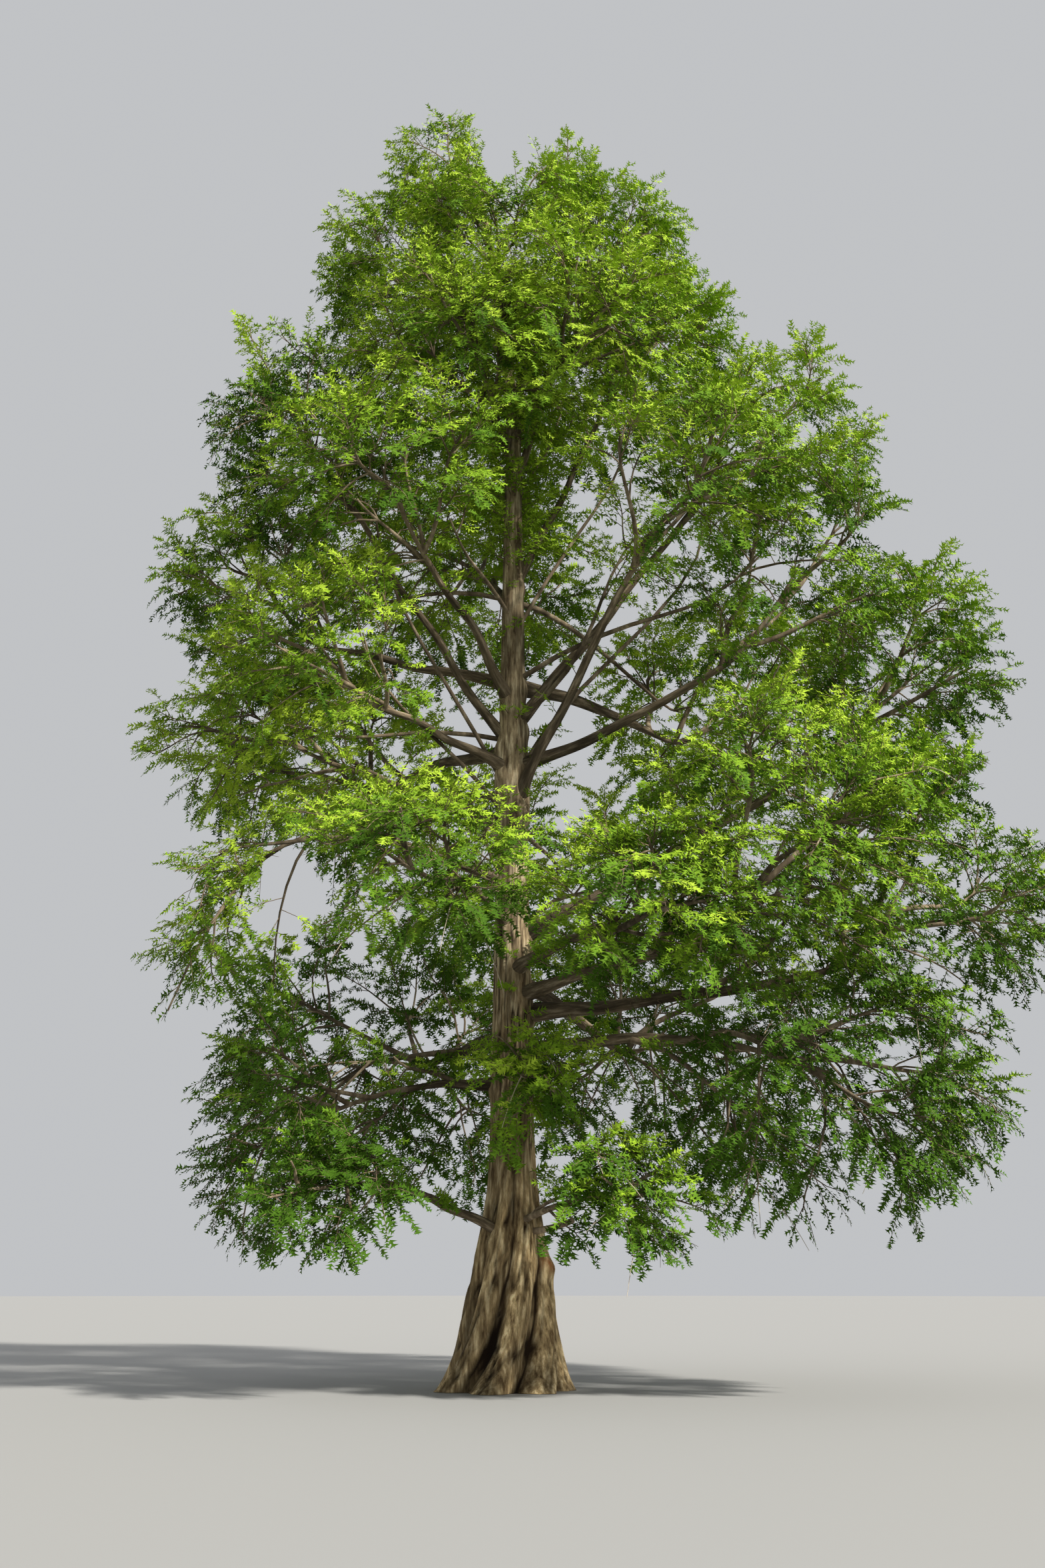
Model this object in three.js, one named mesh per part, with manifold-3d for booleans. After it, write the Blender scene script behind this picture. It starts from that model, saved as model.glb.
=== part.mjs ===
// Dawn redwood, a large open-grown park tree: its trunk, its main boughs and its masses of foliage.
// Millimetres, +Z up. Seen from the front along +Y, with +X to the right.
// The origin is the middle of the flat cut through the trunk at ground level.
import * as THREE from "three";
import { mergeVertices } from "three/addons/utils/BufferGeometryUtils.js";
import Module from "manifold-3d";

const wasm = await Module();
wasm.setup();

// The clear space where a mass's stem meets its bough, where any piece is cut to fit another, and
// between a leaf and the wood or the next mass. A mass's surface may stray this far to save triangles.
const jointGap = 0.3;
const cutGap = 0.35;
const leafGap = 20;
const foliageStray = 15;
// Each mass's run of chances starts from its place in the list times this.
const seedStep = 7919;

// The trunk. Girths are diameters, and each added girth fades over the height named beside it.
const trunk = {
  tip: 22300,
  fullHeight: 25000,
  girth: 840,
  tipGirth: 40,
  taperPower: 1.05,
  buttressGirth: 660,
  buttressHeight: 2400,
  toeGirth: 620,
  toeHeight: 450,
  swellingGirth: 120,
  swellingAt: 10200,
  swellingHeight: 700,
  flutes: 7,
  fluteDepth: 0.12,
  fluteHeight: 3000,
  twist: 1.4,
  twistHeight: 3000,
  standOff: 130,
  standOffHeight: 600,
  lean: -1030,
  leanFrom: 17500,
  leanPower: 1.3,
  sides: 28,
  rings: 18,
  ringPower: 1.7,
};
// Points at more than this share of a limb's length are its flat tip.
const capShare = 0.999;

// A bough's girth follows the mass that it carries and how far out it carries it.
const bough = {
  girthPerSize: 0.055,
  girthPerReach: 0.014,
  tipShare: 0.5,
  collarShare: 0.35,
  collarLength: 650,
  sides: 6,
  rings: 4,
};

// The stem, twigs and sprays of needles in a mass. Shares are of the free length ahead of each.
const stem = {
  sides: 4,
  rings: 3,
  tipShare: 0.3,
  trunkShare: 0.8,
  reachShare: 0.62,
  archShare: 0.1,
  lastSprayAt: 0.85,
};
const twig = {
  count: 4,
  firstAt: 0.12,
  lastAt: 0.92,
  leanLeast: 0.85,
  leanMost: 1.3,
  roomShare: 0.5,
  shortest: 350,
  longest: 1900,
  girth: 80,
  sunk: 40,
  sprayRoots: [0.45, 0.7, 0.55],
};
const spray = {
  length: 2500,
  lengthSpread: 0.35,
  roomShare: 0.95,
  leastShare: 0.38,
  widthShare: 0.56,
  thickShare: 0.03,
  archShare: 0.07,
  ridgeAt: 0.42,
  droop: 0.5,
  sideTurn: 0.9,
  outward: 0.9,
  upward: 0.55,
  jitter: 0.5,
  stray: 0.5,
  attempts: 5,
};
// The core of a dense mass: a lumpy solid, smaller than the mass, that its sprays stand out of.
const core = {
  least: 0.3,
  most: 0.95,
  lumps: 5,
  flatness: 0.25,
  raised: 0.08,
  sprays: 8,
  rootAt: 0.72,
  highest: 0.95,
  lowest: -0.6,
  outward: 0.9,
  downward: 0.6,
  onward: 0.25,
};
// One side of a spray's outline, from root to tip: share of its length, and of its width.
const sprayTeeth = [
  [0.34, 0.5],
  [0.5, 0.26],
  [0.8, 0.34],
];

// The masses, from the top of the crown down. Each has its middle at a bearing (degrees anticlockwise
// from +X, seen from above), a reach from the trunk's foot and a height, and its half sizes: out (along
// the bearing), across it and tall. Its limb leaves the trunk at the height foot. A bough arches up by
// lift, a share of its length, and enters the mass at entry, a share of tall from its middle. A mass
// without a bough grows from the trunk. A dense mass has a core, and in an open one the stem climbs by
// rise. A leader is a spray that stands straight up.
const masses = [
  { name: "crown_top", bearing: 180, reach: 1300, height: 22900, out: 1750, across: 1850, tall: 2000,
    foot: 22000, leader: true, dense: true },
  { name: "crown_top_right", bearing: 13, reach: 1300, height: 23050, out: 1100, across: 1400, tall: 1750,
    foot: 16900, lift: -0.05, entry: -0.7, bough: true, leader: true, dense: true },
  { name: "crown_shoulder", bearing: 356, reach: 2450, height: 21400, out: 1900, across: 2200, tall: 1900,
    foot: 16200, lift: -0.04, entry: -0.6, bough: true, dense: true },
  { name: "crown_front", bearing: 262, reach: 1450, height: 21100, out: 1800, across: 2600, tall: 2400,
    foot: 19900, dense: true },
  { name: "upper_left", bearing: 176, reach: 2300, height: 20800, out: 1800, across: 2600, tall: 2900,
    foot: 19100, dense: true },
  { name: "upper_front_left", bearing: 255, reach: 2500, height: 17800, out: 2200, across: 2900, tall: 2600,
    foot: 16400, dense: true },
  { name: "upper_front_right", bearing: 306, reach: 2800, height: 18100, out: 2150, across: 2600, tall: 2700,
    foot: 17200, dense: true },
  { name: "upper_right", bearing: 4, reach: 3150, height: 19500, out: 2000, across: 2450, tall: 2500,
    foot: 14100, lift: -0.06, entry: -0.6, bough: true, dense: true },
  { name: "upper_back", bearing: 88, reach: 2350, height: 19800, out: 2450, across: 3550, tall: 3300,
    foot: 18000, dense: true },
  { name: "left_shoulder", bearing: 192, reach: 3900, height: 16600, out: 2100, across: 2600, tall: 2800,
    foot: 10900, lift: -0.1, entry: -0.6, bough: true, dense: true },
  { name: "left_front_high", bearing: 237, reach: 3850, height: 14600, out: 2350, across: 2700, tall: 2600,
    foot: 11700, lift: 0.05, entry: -0.4, bough: true, dense: true },
  { name: "right_high", bearing: 2, reach: 5100, height: 17300, out: 2400, across: 2800, tall: 2450,
    foot: 11250, lift: -0.03, entry: -0.6, bough: true, dense: true },
  { name: "right_front_high", bearing: 318, reach: 4500, height: 14500, out: 2650, across: 2950, tall: 2400,
    foot: 9600, lift: 0.04, entry: -0.5, bough: true, dense: true },
  { name: "high_back", bearing: 106, reach: 3800, height: 16000, out: 3000, across: 3800, tall: 3000,
    foot: 13600, dense: true },
  { name: "left_mid", bearing: 177, reach: 4600, height: 14000, out: 2250, across: 3050, tall: 2800,
    foot: 12100, lift: 0.02, entry: -0.4, bough: true, dense: true },
  { name: "left_front_mid", bearing: 221, reach: 4100, height: 11600, out: 2200, across: 2600, tall: 2200,
    foot: 10400, lift: 0.06, entry: -0.3, bough: true, dense: true },
  { name: "right_mid", bearing: 338, reach: 5550, height: 13300, out: 2450, across: 2950, tall: 3000,
    foot: 10450, lift: -0.06, entry: -0.5, bough: true, dense: true },
  { name: "right_far", bearing: 3, reach: 7300, height: 12400, out: 2250, across: 3200, tall: 3200,
    foot: 7300, lift: -0.04, entry: -0.5, bough: true, dense: true },
  { name: "back_right", bearing: 40, reach: 6000, height: 13000, out: 2900, across: 3400, tall: 3300,
    foot: 12100, lift: 0.06, entry: -0.3, bough: true, dense: true },
  { name: "back_left", bearing: 134, reach: 5400, height: 11900, out: 2800, across: 3400, tall: 3300,
    foot: 10800, lift: 0.06, entry: -0.3, bough: true, dense: true },
  { name: "left_wide", bearing: 187, reach: 4300, height: 10800, out: 2550, across: 2800, tall: 2400,
    foot: 9300, lift: 0.05, entry: -0.2, bough: true, dense: true },
  { name: "left_hanging", bearing: 199, reach: 4500, height: 7200, out: 1900, across: 2350, tall: 2400,
    foot: 8300, lift: 0.1, entry: 0.7, rise: -0.6, bough: true },
  { name: "front_left", bearing: 247, reach: 4100, height: 7600, out: 2600, across: 2800, tall: 1800,
    foot: 7500, lift: 0.12, entry: 0.1, bough: true, dense: true },
  { name: "front_right", bearing: 299, reach: 5000, height: 6800, out: 2600, across: 2700, tall: 1800,
    foot: 6700, lift: 0.1, entry: 0.0, bough: true, dense: true },
  { name: "right_front", bearing: 321, reach: 5700, height: 8000, out: 2800, across: 3050, tall: 3300,
    foot: 6300, lift: 0.04, entry: -0.4, bough: true, dense: true },
  { name: "right_wide", bearing: 354, reach: 7100, height: 8200, out: 2900, across: 3300, tall: 3200,
    foot: 6000, lift: -0.03, entry: -0.5, bough: true, dense: true },
  { name: "back_wide", bearing: 86, reach: 5700, height: 9500, out: 3000, across: 3900, tall: 3900,
    foot: 8200, lift: 0.06, entry: -0.3, bough: true, dense: true },
  { name: "low_left", bearing: 185, reach: 3150, height: 4300, out: 2450, across: 3050, tall: 2900,
    foot: 4800, lift: 0.06, entry: 0.15, rise: -0.3, bough: true },
  { name: "low_left_front", bearing: 228, reach: 3800, height: 2900, out: 1900, across: 2150, tall: 1300,
    foot: 2300, lift: 0.08, entry: 0.1, rise: -0.1, bough: true },
  { name: "low_front", bearing: 284, reach: 2400, height: 4600, out: 1600, across: 1900, tall: 1600,
    foot: 4900, rise: -0.2 },
  { name: "low_front_right", bearing: 302, reach: 3400, height: 2900, out: 1800, across: 1900, tall: 1300,
    foot: 2500, rise: -0.1 },
  { name: "low_right", bearing: 337, reach: 5600, height: 4500, out: 3000, across: 3300, tall: 2700,
    foot: 5300, lift: 0.08, entry: 0.3, bough: true, dense: true },
  { name: "low_back_left", bearing: 122, reach: 4400, height: 5500, out: 3100, across: 3900, tall: 3600,
    foot: 5600, lift: 0.06, entry: 0.0, bough: true, dense: true },
  { name: "low_back_right", bearing: 52, reach: 5300, height: 6200, out: 3200, across: 4000, tall: 3900,
    foot: 6600, lift: 0.06, entry: -0.1, bough: true, dense: true },
];

const up = new THREE.Vector3(0, 0, 1);
const goldenAngle = Math.PI * (3 - Math.sqrt(5));

// The materials.
const bark = new THREE.MeshStandardMaterial({ color: 0x6f5c4c, roughness: 0.95, metalness: 0 });
const limbBark = new THREE.MeshStandardMaterial({ color: 0x5c4d40, roughness: 0.95, metalness: 0 });
const needles = new THREE.MeshStandardMaterial({ color: 0x5d9a2b, roughness: 0.7, metalness: 0 });

// A run of numbers from 0 to 1 that is the same each time for one seed.
function seeded(seed) {
  let state = seed;
  return () => {
    state = (Math.imul(state, 1664525) + 1013904223) >>> 0;
    return state / 4294967296;
  };
}

function mix(a, b, share) {
  return a + (b - a) * share;
}

// A geometry whose vertices are shared across its seams and edges.
function withoutSeams(geometry) {
  const bare = geometry.clone();
  bare.deleteAttribute("normal");
  bare.deleteAttribute("uv");
  return mergeVertices(bare, 1e-3);
}

// The closed solid of a geometry.
function solidOf(geometry) {
  const merged = withoutSeams(geometry);
  return new wasm.Manifold(
    new wasm.Mesh({
      numProp: 3,
      vertProperties: merged.attributes.position.array,
      triVerts: new Uint32Array(merged.index.array),
    }),
  );
}

function geometryOf(solid) {
  const { vertProperties, triVerts } = solid.getMesh();
  const geometry = new THREE.BufferGeometry();
  geometry.setAttribute("position", new THREE.BufferAttribute(vertProperties, 3));
  geometry.setIndex(new THREE.BufferAttribute(triVerts, 1));
  geometry.computeVertexNormals();
  return geometry;
}

// The one body of a solid that holds the most, without loose scraps or sealed hollows.
function largestBody(solid) {
  return solid.decompose().reduce((a, b) => (b.volume() > a.volume() ? b : a));
}

// The trunk's middle at a height: it stands off its foot a little, and its leader leans to the left.
function trunkMiddle(height) {
  const stand = trunk.standOff * (1 - Math.exp(-height / trunk.standOffHeight));
  const above = Math.max(0, (height - trunk.leanFrom) / (trunk.fullHeight - trunk.leanFrom));
  return new THREE.Vector3(stand + trunk.lean * above ** trunk.leanPower, 0, height);
}

// The trunk's radius at a height, on the flute that starts at the angle turn at its foot.
function trunkRadius(height, turn) {
  const taper = trunk.tipGirth + trunk.girth * (1 - height / trunk.fullHeight) ** trunk.taperPower;
  const buttress = trunk.buttressGirth * Math.exp(-((height / trunk.buttressHeight) ** 3));
  const toes = trunk.toeGirth * Math.exp(-height / trunk.toeHeight);
  const fromSwelling = (height - trunk.swellingAt) / trunk.swellingHeight;
  const swelling = trunk.swellingGirth * Math.exp(-(fromSwelling ** 2));
  const depth = trunk.fluteDepth * Math.exp(-height / trunk.fluteHeight);
  return ((taper + buttress + toes + swelling) / 2) * (1 + depth * Math.cos(trunk.flutes * turn));
}

// The trunk, or with grow the sleeve round it that keeps limbs clear of it.
function trunkSolid(grow) {
  const geometry = new THREE.CylinderGeometry(1, 1, 1, trunk.sides, trunk.rings);
  const place = geometry.attributes.position;
  for (let i = 0; i < place.count; i++) {
    const share = place.getY(i) + 0.5;
    const height = trunk.tip * share ** trunk.ringPower;
    const turn = Math.atan2(place.getX(i), place.getZ(i));
    const fromMiddle = Math.hypot(place.getX(i), place.getZ(i));
    const radius = fromMiddle * (trunkRadius(height, turn) + grow);
    const bearing = turn + trunk.twist * (1 - Math.exp(-height / trunk.twistHeight));
    const middle = trunkMiddle(height);
    const top = share > capShare ? grow : 0;
    place.setXYZ(
      i,
      middle.x + radius * Math.cos(bearing),
      middle.y + radius * Math.sin(bearing),
      height + top,
    );
  }
  return solidOf(geometry);
}

// Two directions square to a path at one point, the first of them level as far as the path lets it be.
function squareTo(along, chord) {
  const level = new THREE.Vector3().crossVectors(up, chord);
  if (level.length() < 1e-6) level.set(1, 0, 0);
  const aside = level.addScaledVector(along, -level.dot(along)).normalize();
  return [aside, new THREE.Vector3().crossVectors(aside, along)];
}

// A round tapering limb along a path, with flat ends square to it. Its tip may run on beyond the path.
function limb(path, radiusAt, sides, rings, beyond = 0) {
  const geometry = new THREE.CylinderGeometry(1, 1, 1, sides, rings);
  const place = geometry.attributes.position;
  const chord = path.getPoint(1).sub(path.getPoint(0));
  for (let i = 0; i < place.count; i++) {
    const share = place.getY(i) + 0.5;
    const along = path.getTangent(share);
    const [aside, across] = squareTo(along, chord);
    const radius = radiusAt(share);
    const point = path.getPoint(share).addScaledVector(along, share > capShare ? beyond : 0);
    point.addScaledVector(aside, radius * place.getX(i));
    point.addScaledVector(across, radius * place.getZ(i));
    place.setXYZ(i, point.x, point.y, point.z);
  }
  return geometry;
}

// The middle of a mass, and the directions of its half sizes.
for (const mass of masses) {
  const bearing = THREE.MathUtils.degToRad(mass.bearing);
  mass.outward = new THREE.Vector3(Math.cos(bearing), Math.sin(bearing), 0);
  mass.aside = new THREE.Vector3().crossVectors(up, mass.outward);
  mass.middle = mass.outward.clone().multiplyScalar(mass.reach).setZ(mass.height);
  mass.size = (mass.out + mass.across) / 2;
  mass.weight = ((mass.size + mass.tall) / 2) ** 2;
  mass.girth = bough.girthPerSize * mass.size + bough.girthPerReach * mass.reach;
}

// How far a point lies inside the flat wall between a mass and its neighbour.
function depthAtWall(mass, other, point) {
  const across = new THREE.Vector3().subVectors(other.middle, mass.middle);
  const level = other.middle.lengthSq() - mass.middle.lengthSq() + mass.weight - other.weight;
  return (level - 2 * point.dot(across)) / (2 * across.length());
}

// A mass's space is its ellipsoid, cut by the walls between it and the other masses.
function isInside(mass, point) {
  const from = point.clone().sub(mass.middle);
  const outPart = from.dot(mass.outward) / mass.out;
  const asidePart = from.dot(mass.aside) / mass.across;
  const tallPart = from.z / mass.tall;
  if (outPart ** 2 + asidePart ** 2 + tallPart ** 2 > 1) return false;
  return masses.every((other) => other === mass || depthAtWall(mass, other, point) > leafGap);
}

// The free length from a point in a direction, up to the edge of the mass's space.
function roomAhead(mass, point, direction) {
  let near = 0;
  let far = 2 * Math.max(mass.out, mass.across, mass.tall);
  for (let i = 0; i < 12; i++) {
    const half = (near + far) / 2;
    if (isInside(mass, point.clone().addScaledVector(direction, half))) near = half;
    else far = half;
  }
  return near;
}

// The path of a mass's bough, from the trunk's middle to where it enters the mass.
function boughPath(mass) {
  const start = trunkMiddle(mass.foot);
  const end = mass.middle.clone();
  end.addScaledVector(mass.outward, -stem.reachShare * mass.out);
  end.z += mass.entry * mass.tall;
  const length = start.distanceTo(end);
  const bend = start.clone().lerp(end, 0.5);
  bend.addScaledVector(up, mass.lift * length);
  return new THREE.QuadraticBezierCurve3(start, bend, end);
}

// The path of the stem inside a mass, on from its bough's tip or out of the trunk.
function stemPath(mass) {
  const end = mass.dense ? coreMiddle(mass) : mass.middle.clone();
  if (!mass.dense) {
    end.addScaledVector(mass.outward, stem.reachShare * mass.out);
    end.z += mass.rise * mass.tall;
  }
  if (!mass.bough) {
    const start = trunkMiddle(mass.foot);
    const bend = start.clone().lerp(end, 0.5);
    bend.z += stem.archShare * start.distanceTo(end);
    return new THREE.QuadraticBezierCurve3(start, bend, end);
  }
  const path = boughPath(mass);
  const along = path.getTangent(1);
  const start = path.getPoint(1).addScaledVector(along, jointGap);
  const bend = start.clone().addScaledVector(along, start.distanceTo(end) / 3);
  return new THREE.QuadraticBezierCurve3(start, bend, end);
}

// A bough, thickest at its collar on the trunk, or with grow the sleeve that keeps foliage clear of it.
function boughSolid(mass, grow) {
  const path = boughPath(mass);
  const length = path.getLength();
  const radiusAt = (share) => {
    const collar = bough.collarShare * Math.exp(-(((share * length) / bough.collarLength) ** 2));
    return (mass.girth / 2) * (mix(1, bough.tipShare, share) + collar) + grow;
  };
  return solidOf(limb(path, radiusAt, bough.sides, bough.rings, grow));
}

// The middle of a dense mass's core, above the middle of the mass so that its sprays hang.
function coreMiddle(mass) {
  return mass.middle.clone().addScaledVector(up, core.raised * mass.tall);
}

// How far a dense mass's core reaches from its middle in a direction.
function coreReach(mass, order, direction) {
  const waves = direction.toArray().map((part, i) => Math.sin(core.lumps * part + order * (i + 1)));
  const lump = (waves[0] + waves[1] + waves[2]) / 3;
  const flat = 1 - core.flatness * Math.abs(direction.z);
  return flat * roomAhead(mass, coreMiddle(mass), direction) * mix(core.least, core.most, 0.5 + 0.5 * lump);
}

// The core of a dense mass.
function coreSolid(mass, order) {
  const ball = withoutSeams(new THREE.IcosahedronGeometry(1, 1));
  const place = ball.attributes.position;
  const direction = new THREE.Vector3();
  for (let i = 0; i < place.count; i++) {
    direction.fromBufferAttribute(place, i).normalize();
    const point = coreMiddle(mass).addScaledVector(direction, coreReach(mass, order, direction));
    place.setXYZ(i, point.x, point.y, point.z);
  }
  return solidOf(ball);
}

// A twig: a three-sided spike whose root is sunk in what it grows from.
function twigGeometry(from, direction, length) {
  const geometry = new THREE.ConeGeometry(twig.girth / 2, length + twig.sunk, 3, 1);
  geometry.translate(0, (length + twig.sunk) / 2 - twig.sunk, 0);
  geometry.applyQuaternion(new THREE.Quaternion().setFromUnitVectors(new THREE.Vector3(0, 1, 0), direction));
  geometry.translate(from.x, from.y, from.z);
  return geometry;
}

// A spray of needles: a toothed blade, arched over its ridge, that grows from root and faces out.
function sprayGeometry(root, direction, facing, length) {
  const face = facing.clone().addScaledVector(direction, -facing.dot(direction)).normalize();
  const across = new THREE.Vector3().crossVectors(face, direction);
  const right = sprayTeeth.map(([along, aside]) => [along, -aside]);
  const left = sprayTeeth.map(([along, aside]) => [along, aside]).reverse();
  const outline = [[0, 0], ...right, [1, 0], ...left];
  const width = length * spray.widthShare;
  const points = outline.map(([along, aside]) =>
    root.clone().addScaledVector(direction, along * length).addScaledVector(across, aside * width),
  );
  const ridge = root.clone().addScaledVector(direction, spray.ridgeAt * length);
  const arch = spray.archShare * length;
  const half = (spray.thickShare * length) / 2;
  points.push(ridge.clone().addScaledVector(face, arch + half));
  points.push(ridge.clone().addScaledVector(face, arch - half));
  const count = outline.length;
  const faces = [];
  for (let i = 0; i < count; i++) {
    const next = (i + 1) % count;
    faces.push(i, next, count, next, i, count + 1);
  }
  return new THREE.BufferGeometry().setFromPoints(points).setIndex(faces);
}

// A mass of foliage: twigs and sprays grown by rule from one stem, joined into one body and cut clear
// of the sleeves round the wood.
function foliageSolid(mass, order, wood, sleeves) {
  const dice = seeded((order + 1) * seedStep);
  const path = stemPath(mass);
  const base = (mass.girth / 2) * (mass.bough ? bough.tipShare : stem.trunkShare);
  const radiusAt = (share) => base * mix(1, stem.tipShare, share);
  const grown = [solidOf(limb(path, radiusAt, stem.sides, stem.rings))];
  const sprays = [];

  // Keeps a piece that stays in the mass's space and touches no limb, and none of the mass's sprays.
  const keep = (geometry) => {
    const place = geometry.attributes.position;
    const point = new THREE.Vector3();
    for (let i = 0; i < place.count; i++) {
      if (!isInside(mass, point.fromBufferAttribute(place, i))) return null;
    }
    const solid = solidOf(geometry);
    if (solid.minGap(wood, leafGap) < leafGap) return null;
    if (sprays.some((other) => other.minGap(solid, leafGap) < leafGap)) return null;
    grown.push(solid);
    return solid;
  };
  // Tries a few directions for one spray, until one finds room.
  const growSpray = (root, direction) => {
    for (let attempt = 0; attempt < spray.attempts; attempt++) {
      const stray = new THREE.Vector3(dice() - 0.5, dice() - 0.5, dice() - 0.5);
      const course = direction.clone().addScaledVector(stray, spray.stray).normalize();
      const facing = root.clone().sub(mass.middle).normalize().multiplyScalar(spray.outward);
      facing.addScaledVector(up, spray.upward).addScaledVector(stray, spray.jitter);
      const wanted = spray.length * (1 + spray.lengthSpread * (dice() - 0.5));
      const length = Math.min(wanted, spray.roomShare * roomAhead(mass, root, course));
      if (length < spray.leastShare * spray.length) continue;
      const kept = keep(sprayGeometry(root, course, facing, length));
      if (!kept) continue;
      sprays.push(kept);
      return;
    }
  };

  if (mass.dense) {
    grown.push(coreSolid(mass, order));
    if (mass.leader) {
      growSpray(coreMiddle(mass).addScaledVector(up, core.rootAt * coreReach(mass, order, up)), up);
    }
    for (let i = 0; i < core.sprays; i++) {
      const height = mix(core.highest, core.lowest, (i + 0.5) / core.sprays);
      const turn = order + i * goldenAngle;
      const level = Math.sqrt(1 - height ** 2);
      const out = new THREE.Vector3(level * Math.cos(turn), level * Math.sin(turn), height);
      const root = coreMiddle(mass).addScaledVector(out, core.rootAt * coreReach(mass, order, out));
      const course = out.clone().multiplyScalar(core.outward);
      course.addScaledVector(up, -core.downward).addScaledVector(mass.outward, core.onward);
      growSpray(root, course.normalize());
    }
  } else {
    growSpray(path.getPoint(stem.lastSprayAt), path.getTangent(1));
    const chord = path.getPoint(1).sub(path.getPoint(0));
    for (let i = 0; i < twig.count; i++) {
      const share = mix(twig.firstAt, twig.lastAt, (i + 0.5) / twig.count);
      const from = path.getPoint(share);
      const along = path.getTangent(share);
      const [aside, across] = squareTo(along, chord);
      const turn = order + i * goldenAngle + dice() - 0.5;
      const lean = mix(twig.leanLeast, twig.leanMost, dice());
      const direction = along.clone().multiplyScalar(Math.cos(lean));
      direction.addScaledVector(aside, Math.sin(lean) * Math.cos(turn));
      direction.addScaledVector(across, Math.sin(lean) * Math.sin(turn));
      const length = Math.min(twig.longest, twig.roomShare * roomAhead(mass, from, direction));
      if (length < twig.shortest || !keep(twigGeometry(from, direction, length))) continue;
      const sideways = new THREE.Vector3().crossVectors(direction, up).normalize();
      for (const side of [-1, 0, 1]) {
        const root = from.clone().addScaledVector(direction, twig.sprayRoots[side + 1] * length);
        const course = direction.clone().addScaledVector(sideways, side * spray.sideTurn);
        growSpray(root, course.addScaledVector(up, -spray.droop).normalize());
      }
    }
  }
  return largestBody(wasm.Manifold.union(grown).simplify(foliageStray).subtract(sleeves));
}

function node(name, solid, material) {
  const mesh = new THREE.Mesh(geometryOf(solid), material);
  mesh.name = name;
  return mesh;
}

const tree = new THREE.Group();
const trunkSleeve = trunkSolid(cutGap);
const trunkBody = trunkSolid(0);
tree.add(node("trunk", trunkBody, bark));
const boughs = new THREE.Group();
const wood = [trunkBody];
const sleeves = [trunkSleeve];
for (const mass of masses.filter((each) => each.bough)) {
  const solid = largestBody(boughSolid(mass, 0).subtract(trunkSleeve));
  wood.push(solid);
  sleeves.push(boughSolid(mass, cutGap));
  boughs.add(node("bough_" + mass.name, solid, limbBark));
}
const crown = new THREE.Group();
const allWood = wasm.Manifold.union(wood);
const allSleeves = wasm.Manifold.union(sleeves);
masses.forEach((mass, order) => {
  const solid = foliageSolid(mass, order, allWood, allSleeves);
  crown.add(node("foliage_" + mass.name, solid, needles));
});
tree.add(boughs, crown);

export default tree;
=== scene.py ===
# Dawn redwood: bark, limbs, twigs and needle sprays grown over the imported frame. Metres, +Z up, front is -Y.
import math
import bpy
import numpy as np
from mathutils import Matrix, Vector


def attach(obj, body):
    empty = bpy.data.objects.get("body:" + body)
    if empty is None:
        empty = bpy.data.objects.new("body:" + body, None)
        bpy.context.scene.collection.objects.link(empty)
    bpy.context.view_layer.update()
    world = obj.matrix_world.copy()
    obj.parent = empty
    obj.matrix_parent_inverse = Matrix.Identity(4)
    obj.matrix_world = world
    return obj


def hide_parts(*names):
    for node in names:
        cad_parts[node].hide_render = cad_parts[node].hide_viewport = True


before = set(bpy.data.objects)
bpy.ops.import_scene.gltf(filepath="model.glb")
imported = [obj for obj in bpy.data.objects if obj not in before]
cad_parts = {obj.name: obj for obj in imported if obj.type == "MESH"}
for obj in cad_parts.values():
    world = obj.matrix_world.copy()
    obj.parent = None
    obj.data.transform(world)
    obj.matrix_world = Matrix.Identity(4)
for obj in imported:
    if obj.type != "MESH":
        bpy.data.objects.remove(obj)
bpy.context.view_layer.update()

scene = bpy.context.scene
up = np.array([0.0, 0.0, 1.0])
goldenAngle = math.pi * (3 - math.sqrt(5))
print("frame loaded:", len(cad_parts), "nodes")

# camera, light and floor
shot = {"place": (0.31, -26.15, 1.6), "tiltDegrees": 18.18, "lens": 35.0, "film": 36.0, "farthest": 500}
light = {"key": 6.1, "keySoftness": 4.0, "keyFrom": (0.62, -0.60, 0.62), "keyColour": (1.0, 0.96, 0.88),
         "fill": 0.56, "fillColour": (0.95, 0.97, 1.0)}
floor = {"radius": 220, "sides": 64, "below": 0.004, "tone": (0.34, 0.34, 0.335), "roughness": 0.9}

cameraData = bpy.data.cameras.new("photoCamera")
cameraData.lens = shot["lens"]
cameraData.sensor_width = shot["film"]
cameraData.clip_end = shot["farthest"]
camera = bpy.data.objects.new("photoCamera", cameraData)
camera.location = shot["place"]
camera.rotation_euler = (math.radians(90 + shot["tiltDegrees"]), 0, 0)
scene.collection.objects.link(camera)
scene.camera = camera

world = bpy.data.worlds.new("paleRoom")
scene.world = world
world.use_nodes = True
sky = world.node_tree.nodes["Background"]
sky.inputs["Color"].default_value = (*light["fillColour"], 1)
sky.inputs["Strength"].default_value = light["fill"]

keyData = bpy.data.lights.new("keyLight", "SUN")
keyData.energy = light["key"]
keyData.angle = math.radians(light["keySoftness"])
keyData.color = light["keyColour"]
keyLight = bpy.data.objects.new("keyLight", keyData)
keyLight.rotation_mode = "QUATERNION"
keyLight.rotation_quaternion = Vector(light["keyFrom"]).to_track_quat("Z", "Y")
scene.collection.objects.link(keyLight)
scene.view_settings.view_transform = "Standard"


def plainMaterial(name, colour, roughness):
    material = bpy.data.materials.new(name)
    material.use_nodes = True
    shader = material.node_tree.nodes["Principled BSDF"]
    shader.inputs["Base Color"].default_value = (*colour, 1)
    shader.inputs["Roughness"].default_value = roughness
    return material, shader


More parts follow.
